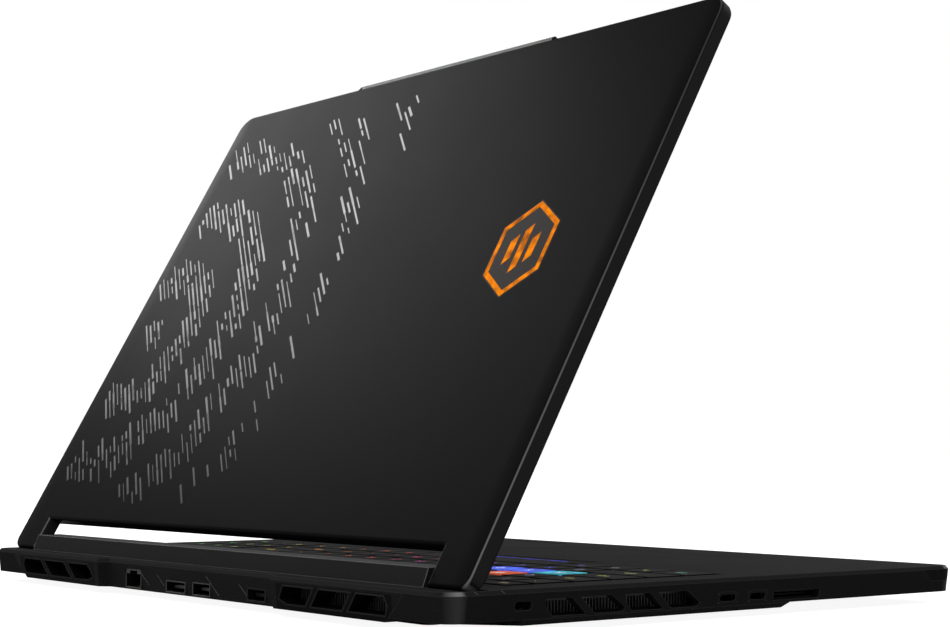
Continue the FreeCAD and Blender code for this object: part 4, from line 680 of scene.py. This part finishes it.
def frame_ring(bm, outline, lift, base, thick, width):
    """A raised frame round an opening, with a sloping outer edge."""
    inner = grow(outline, 0.02 * MM)
    middle = grow(outline, width * 0.7)
    outer = grow(outline, width)
    top = base + thick
    levels = ((inner, base), (inner, top), (middle, top), (outer, base), (inner, base))
    ring(bm, [[lift(u, v, height) for u, v in points] for points, height in levels])


print("mesh helpers ready")

# %% [markdown]
# ## Frames round the air vents
# On the real panel each vent has a plain, slightly raised rim, so the weave stops short of the opening.
# The wall leans in towards the table, so the rim follows the same lean: the depth is worked out from the
# height.

# %% Vent rims
DECK = 15.0 * MM
HALF_WIDE, HALF_DEEP = 178.5 * MM, 135 * MM
WIDEST = 13.6 * MM
TAPER = 1.4 / 11.1


def rear_point(u, v, out):
    """A point on the leaning rear wall: u across, v up, out from the wall."""
    return (u, HALF_DEEP - (WIDEST - v) * TAPER + out, v)


def rear_vents():
    """The six slanted openings in the rear panel, in X and Z."""
    top, low, lean, tip = 11.6, 5.2, 5.9, 3.3
    starts = [78.7 + 23.8 * i for i in range(3)]
    ends = [start + 19.8 for start in starts]
    right = [[(starts[0] + tip / 2, low), (ends[0] - lean, low), (ends[0], top), (starts[0], top),
              (starts[0] - tip, low + tip / 2)],
             [(starts[1] - lean, low), (ends[1] - lean, low), (ends[1], top), (starts[1], top)],
             [(starts[2] - lean, low), (ends[2] - tip, low), (ends[2] - tip / 2, (top + low) / 2),
              (ends[2] - tip, top), (starts[2], top)]]
    left = [[(-x, z) for x, z in reversed(points)] for points in right]
    return [[(x * MM, z * MM) for x, z in points] for points in right + left]


RIM = 0.7 * MM
RIM_RISE, RIM_SUNK = 0.12 * MM, 0.05 * MM


def rear_rims(bm):
    for outline in rear_vents():
        frame_ring(bm, outline, rear_point, -RIM_SUNK, RIM_RISE + RIM_SUNK, RIM)


piece("rear_vent_rims", mesh_from(rear_rims), "base", case_plastic)

# %% [markdown]
# ## Collars of the slim sockets
# A slim socket has round ends, but its opening in the wall is a plain cut. The real case fills the
# corners with a moulded collar: a ring whose inner edge is two half circles joined by straight lines.

# %% Socket collars
SLIM_PLACES = (1.6 * MM, -14.6 * MM)
SLIM_MIDDLE = 7.5 * MM
SLIM_HALF, SLIM_ROUND = 3.0 * MM, 1.25 * MM
COLLAR, COLLAR_RISE, COLLAR_DEPTH = 1.6 * MM, 0.02 * MM, 0.5 * MM
ROUND_STEPS = 8


def left_point(u, v, out):
    """A point on the leaning left wall: u towards the front, v up, out from the wall."""
    return (-(HALF_WIDE - (WIDEST - v) * TAPER + out), -u, v)


def round_ended(u, v):
    """The outline of a slim socket, counter-clockwise."""
    turns = [math.pi * (i / ROUND_STEPS - 0.5) for i in range(2 * ROUND_STEPS + 2)]
    turns = [t - math.pi / ROUND_STEPS * (i > ROUND_STEPS) for i, t in enumerate(turns)]
    return [(u + math.copysign(SLIM_HALF, ROUND_STEPS + 0.5 - i) + SLIM_ROUND * math.cos(t),
             v + SLIM_ROUND * math.sin(t)) for i, t in enumerate(turns)]


def collars(bm):
    for y in SLIM_PLACES:
        frame_ring(bm, round_ended(-y, SLIM_MIDDLE), left_point, -COLLAR_DEPTH,
                   COLLAR_DEPTH + COLLAR_RISE, COLLAR)


piece("slim_socket_collars", mesh_from(collars), "base", case_plastic)

# %% [markdown]
# ## Things that repeat, with Geometry Nodes
# The ribs of the lip, the marks on the deck and the contacts in the sockets are all one small bar,
# repeated in a row. One tree with named inputs makes them all: a rule is built once, and each row fills
# in its own numbers. The result is turned into a plain mesh, because instances don't travel.


# %% Helpers for Geometry Nodes pieces
def make_rule(name, inputs, build):
    """A Geometry Nodes tree with named inputs; returns it with the identifiers of its inputs."""
    tree = bpy.data.node_groups.new(name, "GeometryNodeTree")
    tree.interface.new_socket("Geometry", in_out="OUTPUT", socket_type="NodeSocketGeometry")
    made = {}
    for key, kind in inputs.items():
        socket = tree.interface.new_socket(key, in_out="INPUT", socket_type="NodeSocket" + kind)
        made[key] = socket.identifier
    entry = add(tree, "NodeGroupInput")
    result = build(tree, {key: entry.outputs[key] for key in made})
    add(tree, "NodeGroupOutput", {0: result})
    return tree, made


def plain_mesh(obj):
    """The finished shape of an object as a mesh of its own."""
    ready = obj.evaluated_get(bpy.context.evaluated_depsgraph_get())
    return bpy.data.meshes.new_from_object(ready)


def grown_mesh(rule, turn, **values):
    """Run a rule on an empty mesh, and return the plain mesh, turned into place."""
    tree, made = rule
    host = bpy.data.objects.new(tree.name, bpy.data.meshes.new(tree.name))
    scene.collection.objects.link(host)
    modifier = host.modifiers.new(tree.name, "NODES")
    modifier.node_group = tree
    for key, value in values.items():
        modifier[made[key]] = value
    mesh = plain_mesh(host)
    host.modifiers.clear()
    bpy.data.objects.remove(host)
    mesh.transform(turn)
    return mesh


def turned(tree, angle):
    """A rotation about Z by an angle that comes from a socket."""
    spin = add(tree, "ShaderNodeCombineXYZ", {"Z": angle}).outputs[0]
    return add(tree, "FunctionNodeEulerToRotation", {0: spin}).outputs[0]


def finished(tree, spread, material):
    """Instances as plain geometry, with their material."""
    solid = add(tree, "GeometryNodeRealizeInstances", {0: spread}).outputs[0]
    return add(tree, "GeometryNodeSetMaterial", {"Geometry": solid, "Material": material}).outputs[0]


def bar_row(tree, given):
    """Bars with sloping flanks, side by side along X from the origin, standing on Z nought."""
    step = add(tree, "ShaderNodeCombineXYZ", {"X": given["Pitch"]}).outputs[0]
    line = add(tree, "GeometryNodeMeshLine", {"Count": given["Count"], "Offset": step},
               mode="OFFSET").outputs[0]
    half_diagonal = math.sqrt(0.5)
    bar = add(tree, "GeometryNodeMeshCone", {"Vertices": 4, "Side Segments": 1, "Depth": 1.0,
                                             "Radius Top": half_diagonal * 0.8,
                                             "Radius Bottom": half_diagonal}).outputs["Mesh"]
    square = add(tree, "GeometryNodeTransform", {"Geometry": bar,
                                                 "Rotation": (0, 0, math.pi / 4)}).outputs[0]
    size = add(tree, "ShaderNodeCombineXYZ", {"X": given["Width"], "Y": given["Length"], "Z": given["Rise"]})
    spread = add(tree, "GeometryNodeInstanceOnPoints", {"Points": line, "Instance": square,
                                                        "Rotation": turned(tree, given["Lean"]),
                                                        "Scale": size.outputs[0]}).outputs[0]
    return finished(tree, spread, given["Finish"])


row_rule = make_rule("bar_row", {"Count": "Int", "Pitch": "Float", "Width": "Float", "Length": "Float",
                                 "Rise": "Float", "Lean": "Float", "Finish": "Material"}, bar_row)
print("row rule inputs:", list(row_rule[1]))

# %% [markdown]
# ## The ribbed lip
# The lip on the lid's top edge is finely ribbed, so that a finger finds it. The lid leans back in this
# pose, so its pieces are built flat and then turned with it: the frame tells where the hinge is and how
# far it is open, and the lid's own solid tells where its back and its top edge are.

# %% The lid's turn and the ribs
hinge = [joint for joint in frame["joints"] if joint["name"] == "lid_hinge"][0]
opened = -math.radians(hinge["range_deg"][0])
lid_turn = Matrix.Translation(hinge["pos_m"]) @ Matrix.Rotation(-opened, 4, "X")


def on_lid(name):
    """The points of a lid node, in the lid's own flat frame."""
    node = frame["nodes"][name]
    back = lid_turn.inverted() @ node.matrix_world
    return [back @ vertex.co for vertex in node.data.vertices]


LID_BACK = max(point.z for point in on_lid("lid_cover"))
lip_points = on_lid("camera_lip")
LIP_BACK = max(point.z for point in lip_points)
LIP_EDGE = min(point.y for point in lip_points)
# The real ribs are some 1.3 mm apart; they are drawn coarser so that they show.
RIB_PITCH = 1.8 * MM
RIB_COUNT = 79
RIB_LENGTH = 2.0 * MM
RIB_RISE = 0.14 * MM
SUNK = 0.02 * MM
rib_place = Matrix.Translation((-RIB_PITCH * (RIB_COUNT - 1) / 2, LIP_EDGE + 1.25 * MM, LIP_BACK - SUNK))
ribs = grown_mesh(row_rule, lid_turn @ rib_place, Count=RIB_COUNT, Pitch=RIB_PITCH, Width=0.8 * MM,
                  Length=RIB_LENGTH, Rise=RIB_RISE, Lean=0.0, Finish=lip_metal)
piece("lip_ribs", ribs, "lid", lip_metal)
print("lid opened", round(math.degrees(opened), 1), "degrees, lip edge at", round(LIP_EDGE / MM, 2), "mm")

# %% [markdown]
# ## Printed dashes on the lid
# The far half of the lid carries a light grey print of slanted dashes of many lengths. Here they draw
# ripples that spread from a point near the far edge, as when a drop falls into water. A slanted grid of
# points is thinned by chance: the chance to stay is high on the crest of a ripple, nought between two,
# and fades with the distance. Each point that stays carries a dash.


# %% Dash ink
# Heights between which the ink's painted shade lifts and it gets to its full tone.
INK_SHADE_HEIGHTS = (0.03, 0.17)


def dash_ink():
    """Pale grey screen ink: slightly uneven, with a painted shade that darkens it towards the lid's foot."""
    material, tree, shader, place = new_finish("grey_screen_ink")
    lit_share = ranged(tree, parts(tree, place)["Z"], *INK_SHADE_HEIGHTS)
    uneven = maths(tree, "MULTIPLY", lit_share, blotches(tree, place, 0.002, 0.8, 1.0))
    wire(tree, shader, Base_Color=mixed(tree, uneven, "#1c1c1c", "#b0b0b0"),
         Roughness=blotches(tree, place, 0.003, 0.5, 0.6))
    shader.inputs["Specular IOR Level"].default_value = 0.03
    return material


screen_ink = dash_ink()


# %% Dash rule
DASH_WIDTH = (0.4 * MM, 1.3 * MM)
DASH_LENGTH = (4 * MM, 17 * MM)
STAY_SEED, WIDTH_SEED, LENGTH_SEED = 11, 5, 8


def chance(tree, low, high, seed):
    """A random number for each point."""
    return add(tree, "FunctionNodeRandomValue", {"Min": low, "Max": high, "Seed": seed},
               data_type="FLOAT").outputs[1]


def dash_field(tree, given):
    """A slanted grid of points, each moved a little along its column, in the lid's own frame."""
    columns = maths(tree, "DIVIDE", given["Side"], given["Column pitch"])
    rows = maths(tree, "DIVIDE", given["Side"], given["Row pitch"])
    field = add(tree, "GeometryNodeMeshGrid", {"Size X": given["Side"], "Size Y": given["Side"],
                                               "Vertices X": columns, "Vertices Y": rows}).outputs["Mesh"]
    shift = add(tree, "ShaderNodeCombineXYZ", {"Y": chance(tree, -0.5, 0.5, given["Seed"])}).outputs[0]
    shift = add(tree, "ShaderNodeVectorMath", {0: shift, "Scale": given["Row pitch"]},
                operation="SCALE").outputs[0]
    field = add(tree, "GeometryNodeSetPosition", {"Geometry": field, "Offset": shift}).outputs[0]
    return add(tree, "GeometryNodeTransform", {"Geometry": field, "Translation": given["Middle"],
                                               "Rotation": turned(tree, given["Lean"])}).outputs[0]


def ripple_odds(tree, given):
    """The chance of a point to stay: ripples round a point, fading outwards, inside the print's box."""
    place = add(tree, "GeometryNodeInputPosition").outputs[0]
    away = vectors(tree, "DISTANCE", place, given["Drop"])["Value"]
    phase = maths(tree, "MULTIPLY", maths(tree, "DIVIDE", away, given["Ripple"]), 2 * math.pi)
    crest = ranged(tree, maths(tree, "COSINE", phase), -0.1, 0.2)
    odds = maths(tree, "MULTIPLY", crest, ranged(tree, away, 0.06, 0.17, 0.95, 0.25))
    offset = vectors(tree, "ABSOLUTE", vectors(tree, "SUBTRACT", place, given["Middle"])["Vector"])["Vector"]
    room = parts(tree, vectors(tree, "SUBTRACT", given["Half size"], offset)["Vector"])
    inside = maths(tree, "GREATER_THAN", maths(tree, "MINIMUM", room["X"], room["Y"]))
    return maths(tree, "MULTIPLY", odds, inside)


def dash_print(tree, given):
    """Dashes on the points of the field that stay."""
    drop = maths(tree, "GREATER_THAN", chance(tree, 0.0, 1.0, STAY_SEED), ripple_odds(tree, given))
    kept = add(tree, "GeometryNodeDeleteGeometry", {"Geometry": dash_field(tree, given), "Selection": drop},
               domain="POINT").outputs[0]
    thick = add(tree, "ShaderNodeCombineXYZ", {"X": 1.0, "Y": 1.0, "Z": given["Ink"]}).outputs[0]
    dash = add(tree, "GeometryNodeMeshCube", {"Size": thick}).outputs["Mesh"]
    size = add(tree, "ShaderNodeCombineXYZ", {"X": chance(tree, *DASH_WIDTH, WIDTH_SEED),
                                              "Y": chance(tree, *DASH_LENGTH, LENGTH_SEED),
                                              "Z": 1.0}).outputs[0]
    spread = add(tree, "GeometryNodeInstanceOnPoints", {"Points": kept, "Instance": dash, "Scale": size,
                                                        "Rotation": turned(tree, given["Lean"])}).outputs[0]
    return finished(tree, spread, screen_ink)


DASH_INPUTS = {"Side": "Float", "Column pitch": "Float", "Row pitch": "Float", "Ink": "Float",
               "Lean": "Float", "Ripple": "Float", "Middle": "Vector", "Half size": "Vector",
               "Drop": "Vector", "Seed": "Int"}
dash_rule = make_rule("dash_print", DASH_INPUTS, dash_print)
print("dash rule inputs:", list(dash_rule[1]))

# %% Dashes
INK = 0.03 * MM
dash_values = {"Side": 300 * MM, "Column pitch": 2.8 * MM, "Row pitch": 9 * MM, "Ink": INK,
               "Lean": math.radians(45.5), "Ripple": 36 * MM, "Middle": (86 * MM, -128 * MM, 0.0),
               "Half size": (80 * MM, 106 * MM, 1.0), "Drop": (150 * MM, -112 * MM, 0.0), "Seed": 3}
dashes = grown_mesh(dash_rule, lid_turn @ Matrix.Translation((0, 0, LID_BACK + INK * 0.4)), **dash_values)
piece("lid_dashes", dashes, "lid", screen_ink)

# %% [markdown]
# ## The lit emblem
# A lit emblem is a smoked window with a bright outline and a simple mark, masked from behind. Here it is
# a plain hexagon with three slanted bars: thin chamfered plates on the window, so the light has an edge.

# %% Emblem outline and bars
EMBLEM = (-120.0 * MM, -137.45 * MM)
EMBLEM_RISE = 0.06 * MM
BAR_HALF, BAR_SLANT = 1.9, 3.0


def lid_point(u, v, out):
    """A point on the lid's back, before the lid is turned."""
    return (u, v, LID_BACK + out)


def hexagon(wide, tall):
    """A hexagon on its point round the emblem's middle, counter-clockwise."""
    corners = ((0, -tall), (wide, -tall / 2), (wide, tall / 2), (0, tall), (-wide, tall / 2),
               (-wide, -tall / 2))
    return [(EMBLEM[0] + x * MM, EMBLEM[1] + y * MM) for x, y in corners]


def emblem_outline(bm):
    inner = hexagon(14.2, 19.4)
    outer = hexagon(16.4, 22.2)
    levels = ((inner, -SUNK), (inner, EMBLEM_RISE), (outer, EMBLEM_RISE), (outer, -SUNK), (inner, -SUNK))
    ring(bm, [[lid_point(u, v, height) for u, v in points] for points, height in levels])


def emblem_bars(bm):
    for step, tall in ((-6.4, 7.0), (0.0, 11.5), (6.4, 7.0)):
        left, right = step - BAR_HALF, step + BAR_HALF
        bar = [(left, tall - BAR_SLANT), (left, -tall), (right, -tall + BAR_SLANT), (right, tall)]
        corners = [(EMBLEM[0] + x * MM, EMBLEM[1] + y * MM) for x, y in bar]
        plate(bm, corners, lid_point, -SUNK, EMBLEM_RISE + SUNK, 0.05 * MM)


piece("emblem_outline", mesh_from(emblem_outline, lid_turn), "lid", amber_light)
piece("emblem_bars", mesh_from(emblem_bars, lid_turn), "lid", amber_light)

# %% [markdown]
# ## Legends on the keys
# A backlit key has its sign cut through black lacquer, so light shows in the shape of the sign. Text
# objects give the shapes. Each is made a mesh at once, and the signs of one key row are one piece, riding
# on the row that they belong to.

# %% Key places and signs
KEY_TOP = 15.2 * MM
KEY_LEFT = -161.05
KEY_PITCH = 18.0
ROW_Y = (-2.0, 16.6, 35.2, 53.8, 72.4, 88.9)
PAD_LEFT = 112.45
PAD_PITCH = 16.2
ROWS = (
    ("function_keys", 5, [1] * 15, ["esc"] + ["F%d" % i for i in range(1, 13)] + ["prt", "del"]),
    ("number_keys", 4, [1] * 13 + [2], list("`1234567890-=") + ["back"]),
    ("upper_letter_keys", 3, [1.5] + [1] * 12 + [1.5], ["tab"] + list("QWERTYUIOP[]") + ["\\"]),
    ("home_letter_keys", 2, [1.75] + [1] * 11 + [2.25], ["caps"] + list("ASDFGHJKL;'") + ["enter"]),
    ("lower_letter_keys", 1, [2.25] + [1] * 10 + [1.75, 1], ["shift"] + list("ZXCVBNM,./") + ["shift", "^"]),
    ("bottom_keys", 0, [1.25, 1, 1, 1.25, 5.5, 1, 1, 1, 1, 1],
     ["ctrl", "fn", "sys", "alt", "", "alt", "ctrl", "<", "v", ">"]),
)
PAD_SIGNS = (("0", ".", "ent"), ("1", "2", "3"), ("4", "5", "6"), ("7", "8", "9"), ("/", "*", "-"),
             ("num", "=", "+"))
OWN_BODY = {(3, "W"): "key_w", (2, "A"): "key_a", (2, "S"): "key_s", (2, "D"): "key_d"}
signs = {}
for body, row, widths, texts in ROWS:
    start = 0.0
    for width, text in zip(widths, texts):
        middle = KEY_LEFT + KEY_PITCH * (start + width / 2)
        signs.setdefault(OWN_BODY.get((row, text), body), []).append((text, middle, ROW_Y[row]))
        start += width
for row, texts in enumerate(PAD_SIGNS):
    for column, text in enumerate(texts):
        middle = PAD_LEFT + PAD_PITCH * (column + 0.5)
        signs.setdefault("number_pad_keys", []).append((text, middle, ROW_Y[row]))
print("signs:", sum(len(found) for found in signs.values()))


# %% Signs made into meshes
LETTER_SIZE, WORD_SIZE = 5.6 * MM, 3.6 * MM


def sign_mesh(text, size):
    """One sign as a thin plain mesh, its middle at the origin."""
    curve = bpy.data.curves.new("sign", "FONT")
    curve.body = text
    curve.size = size
    curve.align_x = "CENTER"
    curve.align_y = "CENTER"
    curve.resolution_u = 2
    curve.extrude = 0.02 * MM
    holder = bpy.data.objects.new("sign", curve)
    scene.collection.objects.link(holder)
    mesh = plain_mesh(holder)
    bpy.data.objects.remove(holder)
    return mesh


for body, found in signs.items():
    bm = bmesh.new()
    for text, x, y in found:
        if not text:
            continue
        letters = sign_mesh(text, LETTER_SIZE if len(text) == 1 else WORD_SIZE)
        letters.transform(Matrix.Translation((x * MM, y * MM, KEY_TOP + 0.01 * MM)))
        bm.from_mesh(letters)
    merged = bpy.data.meshes.new("signs")
    bm.to_mesh(merged)
    bm.free()
    own = body in OWN_BODY.values()
    piece("signs_" + body, merged, body, white_mark if own else legend_light)

# %% [markdown]
# ## Marks on the deck
# Ahead of the keyboard there is a thin line of blue light and a row of slanted printed marks, and a short
# row stands on the palm rest. The power button carries the usual sign, an open ring with a bar, in white.

# %% Deck marks, light line and power sign
DECK_INK = 0.03 * MM


def deck_point(u, v, out):
    """A point on the deck: u across, v towards the rear."""
    return (u, v, DECK + out)


def light_line(bm):
    x0, x1, y0, y1 = (value * MM for value in (-66.0, -14.0, -17.6, -16.2))
    plate(bm, [(x0, y0), (x1, y0), (x1, y1), (x0, y1)], deck_point, -SUNK, 0.06 * MM, 0.02 * MM)


def power_sign(bm):
    middle = Vector((140.0 * MM, 104.0 * MM))
    turns = [math.radians(125 + 290 * i / 20) for i in range(21)]
    arc = [(1.6 * MM, turn) for turn in turns] + [(1.25 * MM, turn) for turn in reversed(turns)]
    outline = [tuple(middle + Vector((math.cos(turn), math.sin(turn))) * radius) for radius, turn in arc]
    ends = ((-0.2, 0.3), (0.2, 0.3), (0.2, 1.8), (-0.2, 1.8))
    bar = [tuple(middle + Vector(end) * MM) for end in ends]
    for shape in (outline, bar):
        plate(bm, shape, deck_point, 0.3 * MM - SUNK, 0.05 * MM, 0.01 * MM)


piece("deck_light_line", mesh_from(light_line), "base", blue_line)
piece("power_sign", mesh_from(power_sign), "power_button", white_mark)
for name, count, x, y in (("deck_marks", 20, -75, -24.0), ("palm_marks", 9, 57, -119)):
    mark_place = Matrix.Translation((x * MM, y * MM, DECK - SUNK))
    marks = grown_mesh(row_rule, mark_place, Count=count, Pitch=4.5 * MM, Width=1.6 * MM, Length=7.0 * MM,
                       Rise=DECK_INK + SUNK, Lean=-0.6, Finish=lip_plastic)
    piece(name, marks, "base", lip_plastic)

# %% [markdown]
# ## Inside the sockets
# A socket looks empty without its contacts. They are gold-plated springs, in a row along the floor of
# the network socket and on the tongues of the others: the same bar, with the row rule again.

# %% Socket contacts
CONTACTS = (
    ("network_contacts", 8, 1.02, 0.45, 41.4, 124.0, 3.98),
    ("video_contacts", 10, 1.0, 0.45, 4.5, 124.0, 6.58),
    ("data_contacts", 4, 2.0, 1.0, -14.7, 124.0, 6.78),
)
for name, count, pitch, wide, x, y, z in CONTACTS:
    pins = grown_mesh(row_rule, Matrix.Translation((x * MM, y * MM, z * MM)), Count=count, Pitch=pitch * MM,
                      Width=wide * MM, Length=6.0 * MM, Rise=0.25 * MM, Lean=0.0, Finish=contact_gold)
    piece(name, pins, "base", contact_gold)

# %% [markdown]
# ## Seams and ridges of the case
# Slanted hairlines run between the rear sockets, and two short bright seams cross the bevel of each side
# near the rear corner. A moulded line is a low ridge with sloping flanks, so each is a thin plate.

# %% Rear hairlines and bevel seams
REAR_STEP = 3.8 * MM
REAR_LINES = ((39.8, 11.7, 31.7, 5.5), (24.0, 10.1, 18.8, 5.9), (-16.2, 11.8, -25.0, 4.4),
              (-40.9, 10.1, -46.0, 6.0))
SEAMS = ((110.6, 14.8, 109.6, 13.9), (122.2, 14.8, 121.0, 13.9))
LINE_WIDTH = 0.3 * MM
BEVEL_SLOPE = 1.2 / 1.4


def middle_point(u, v, out):
    """A point on the rear panel's middle, which stands in from the rest."""
    x, y, z = rear_point(u, v, out)
    return (x, y - REAR_STEP, z)


def bevel_point(side):
    """A point on the bevel over a side wall: u runs along Y."""
    return lambda u, v, out: (side * (HALF_WIDE - (v - WIDEST) * BEVEL_SLOPE + out), u, v)


def streak(bm, line, lift, rise):
    """A thin ridge from one place to another."""
    start, end = Vector(line[:2]) * MM, Vector(line[2:]) * MM
    ahead = (end - start).normalized()
    across = Vector((ahead.y, -ahead.x)) * LINE_WIDTH / 2
    plate(bm, [tuple(p) for p in (start - across, start + across, end + across, end - across)], lift, -SUNK,
          rise + SUNK, 0.05 * MM)


def rear_lines(bm):
    for line in REAR_LINES:
        streak(bm, line, middle_point, 0.1 * MM)


def bevel_seams(bm):
    for side in (-1, 1):
        for line in SEAMS:
            streak(bm, line, bevel_point(side), 0.04 * MM)


# Both are in the hinge bar's plastic, whose painted edge highlight makes these thin ridges bright.
piece("rear_hairlines", mesh_from(rear_lines), "base", bar_plastic)
piece("bevel_seams", mesh_from(bevel_seams), "base", bar_plastic)

# %% [markdown]
# ## Painted crosses on the screws
# The bottom cover's screws are all one solid, so their places are read back from it: its points are
# gathered into one group for each screw. Each head gets a thin dark cross on its face: painted shade
# that stands for the driver's recess, which is not cut.

# %% Painted shade of the screw recesses
CROSS = 1.4 * MM
CROSS_ARM = 0.3 * MM
SCREW_REACH = 6.0 * MM


def screw_places():
    """The middle of each screw's head, and the height of its face."""
    groups = []
    for vertex in frame["nodes"]["bottom_screws"].data.vertices:
        near = [g for g in groups if (g[0].xy - vertex.co.xy).length < SCREW_REACH]
        if near:
            near[0].append(vertex.co)
        else:
            groups.append([vertex.co])
    found = []
    for group in groups:
        low = min(point.z for point in group)
        head = [point for point in group if point.z < low + 0.01 * MM]
        middle = sum((point.xy for point in head), Vector((0, 0))) / len(head)
        found.append((middle, low))
    return found


# Each cross is a thin dark film on the head: painted shade for the recess.
def shade_crosses(bm):
    a, b = CROSS_ARM, CROSS
    quarter = ((a, a), (a, b), (-a, b))
    arms = quarter + ((-a, a), (-b, a), (-b, -a)) + tuple((-x, -y) for x, y in quarter)
    arms += ((a, -a), (b, -a), (b, a))
    for middle, low in screw_places():
        outline = [(middle.x + x, middle.y + y) for x, y in arms]
        plate(bm, outline, lambda u, v, out, low=low: (u, v, low - out), -SUNK, 0.05 * MM, 0.01 * MM)


piece("screw_recesses", mesh_from(shade_crosses), "base", lip_plastic)
print("screws found:", len(screw_places()))
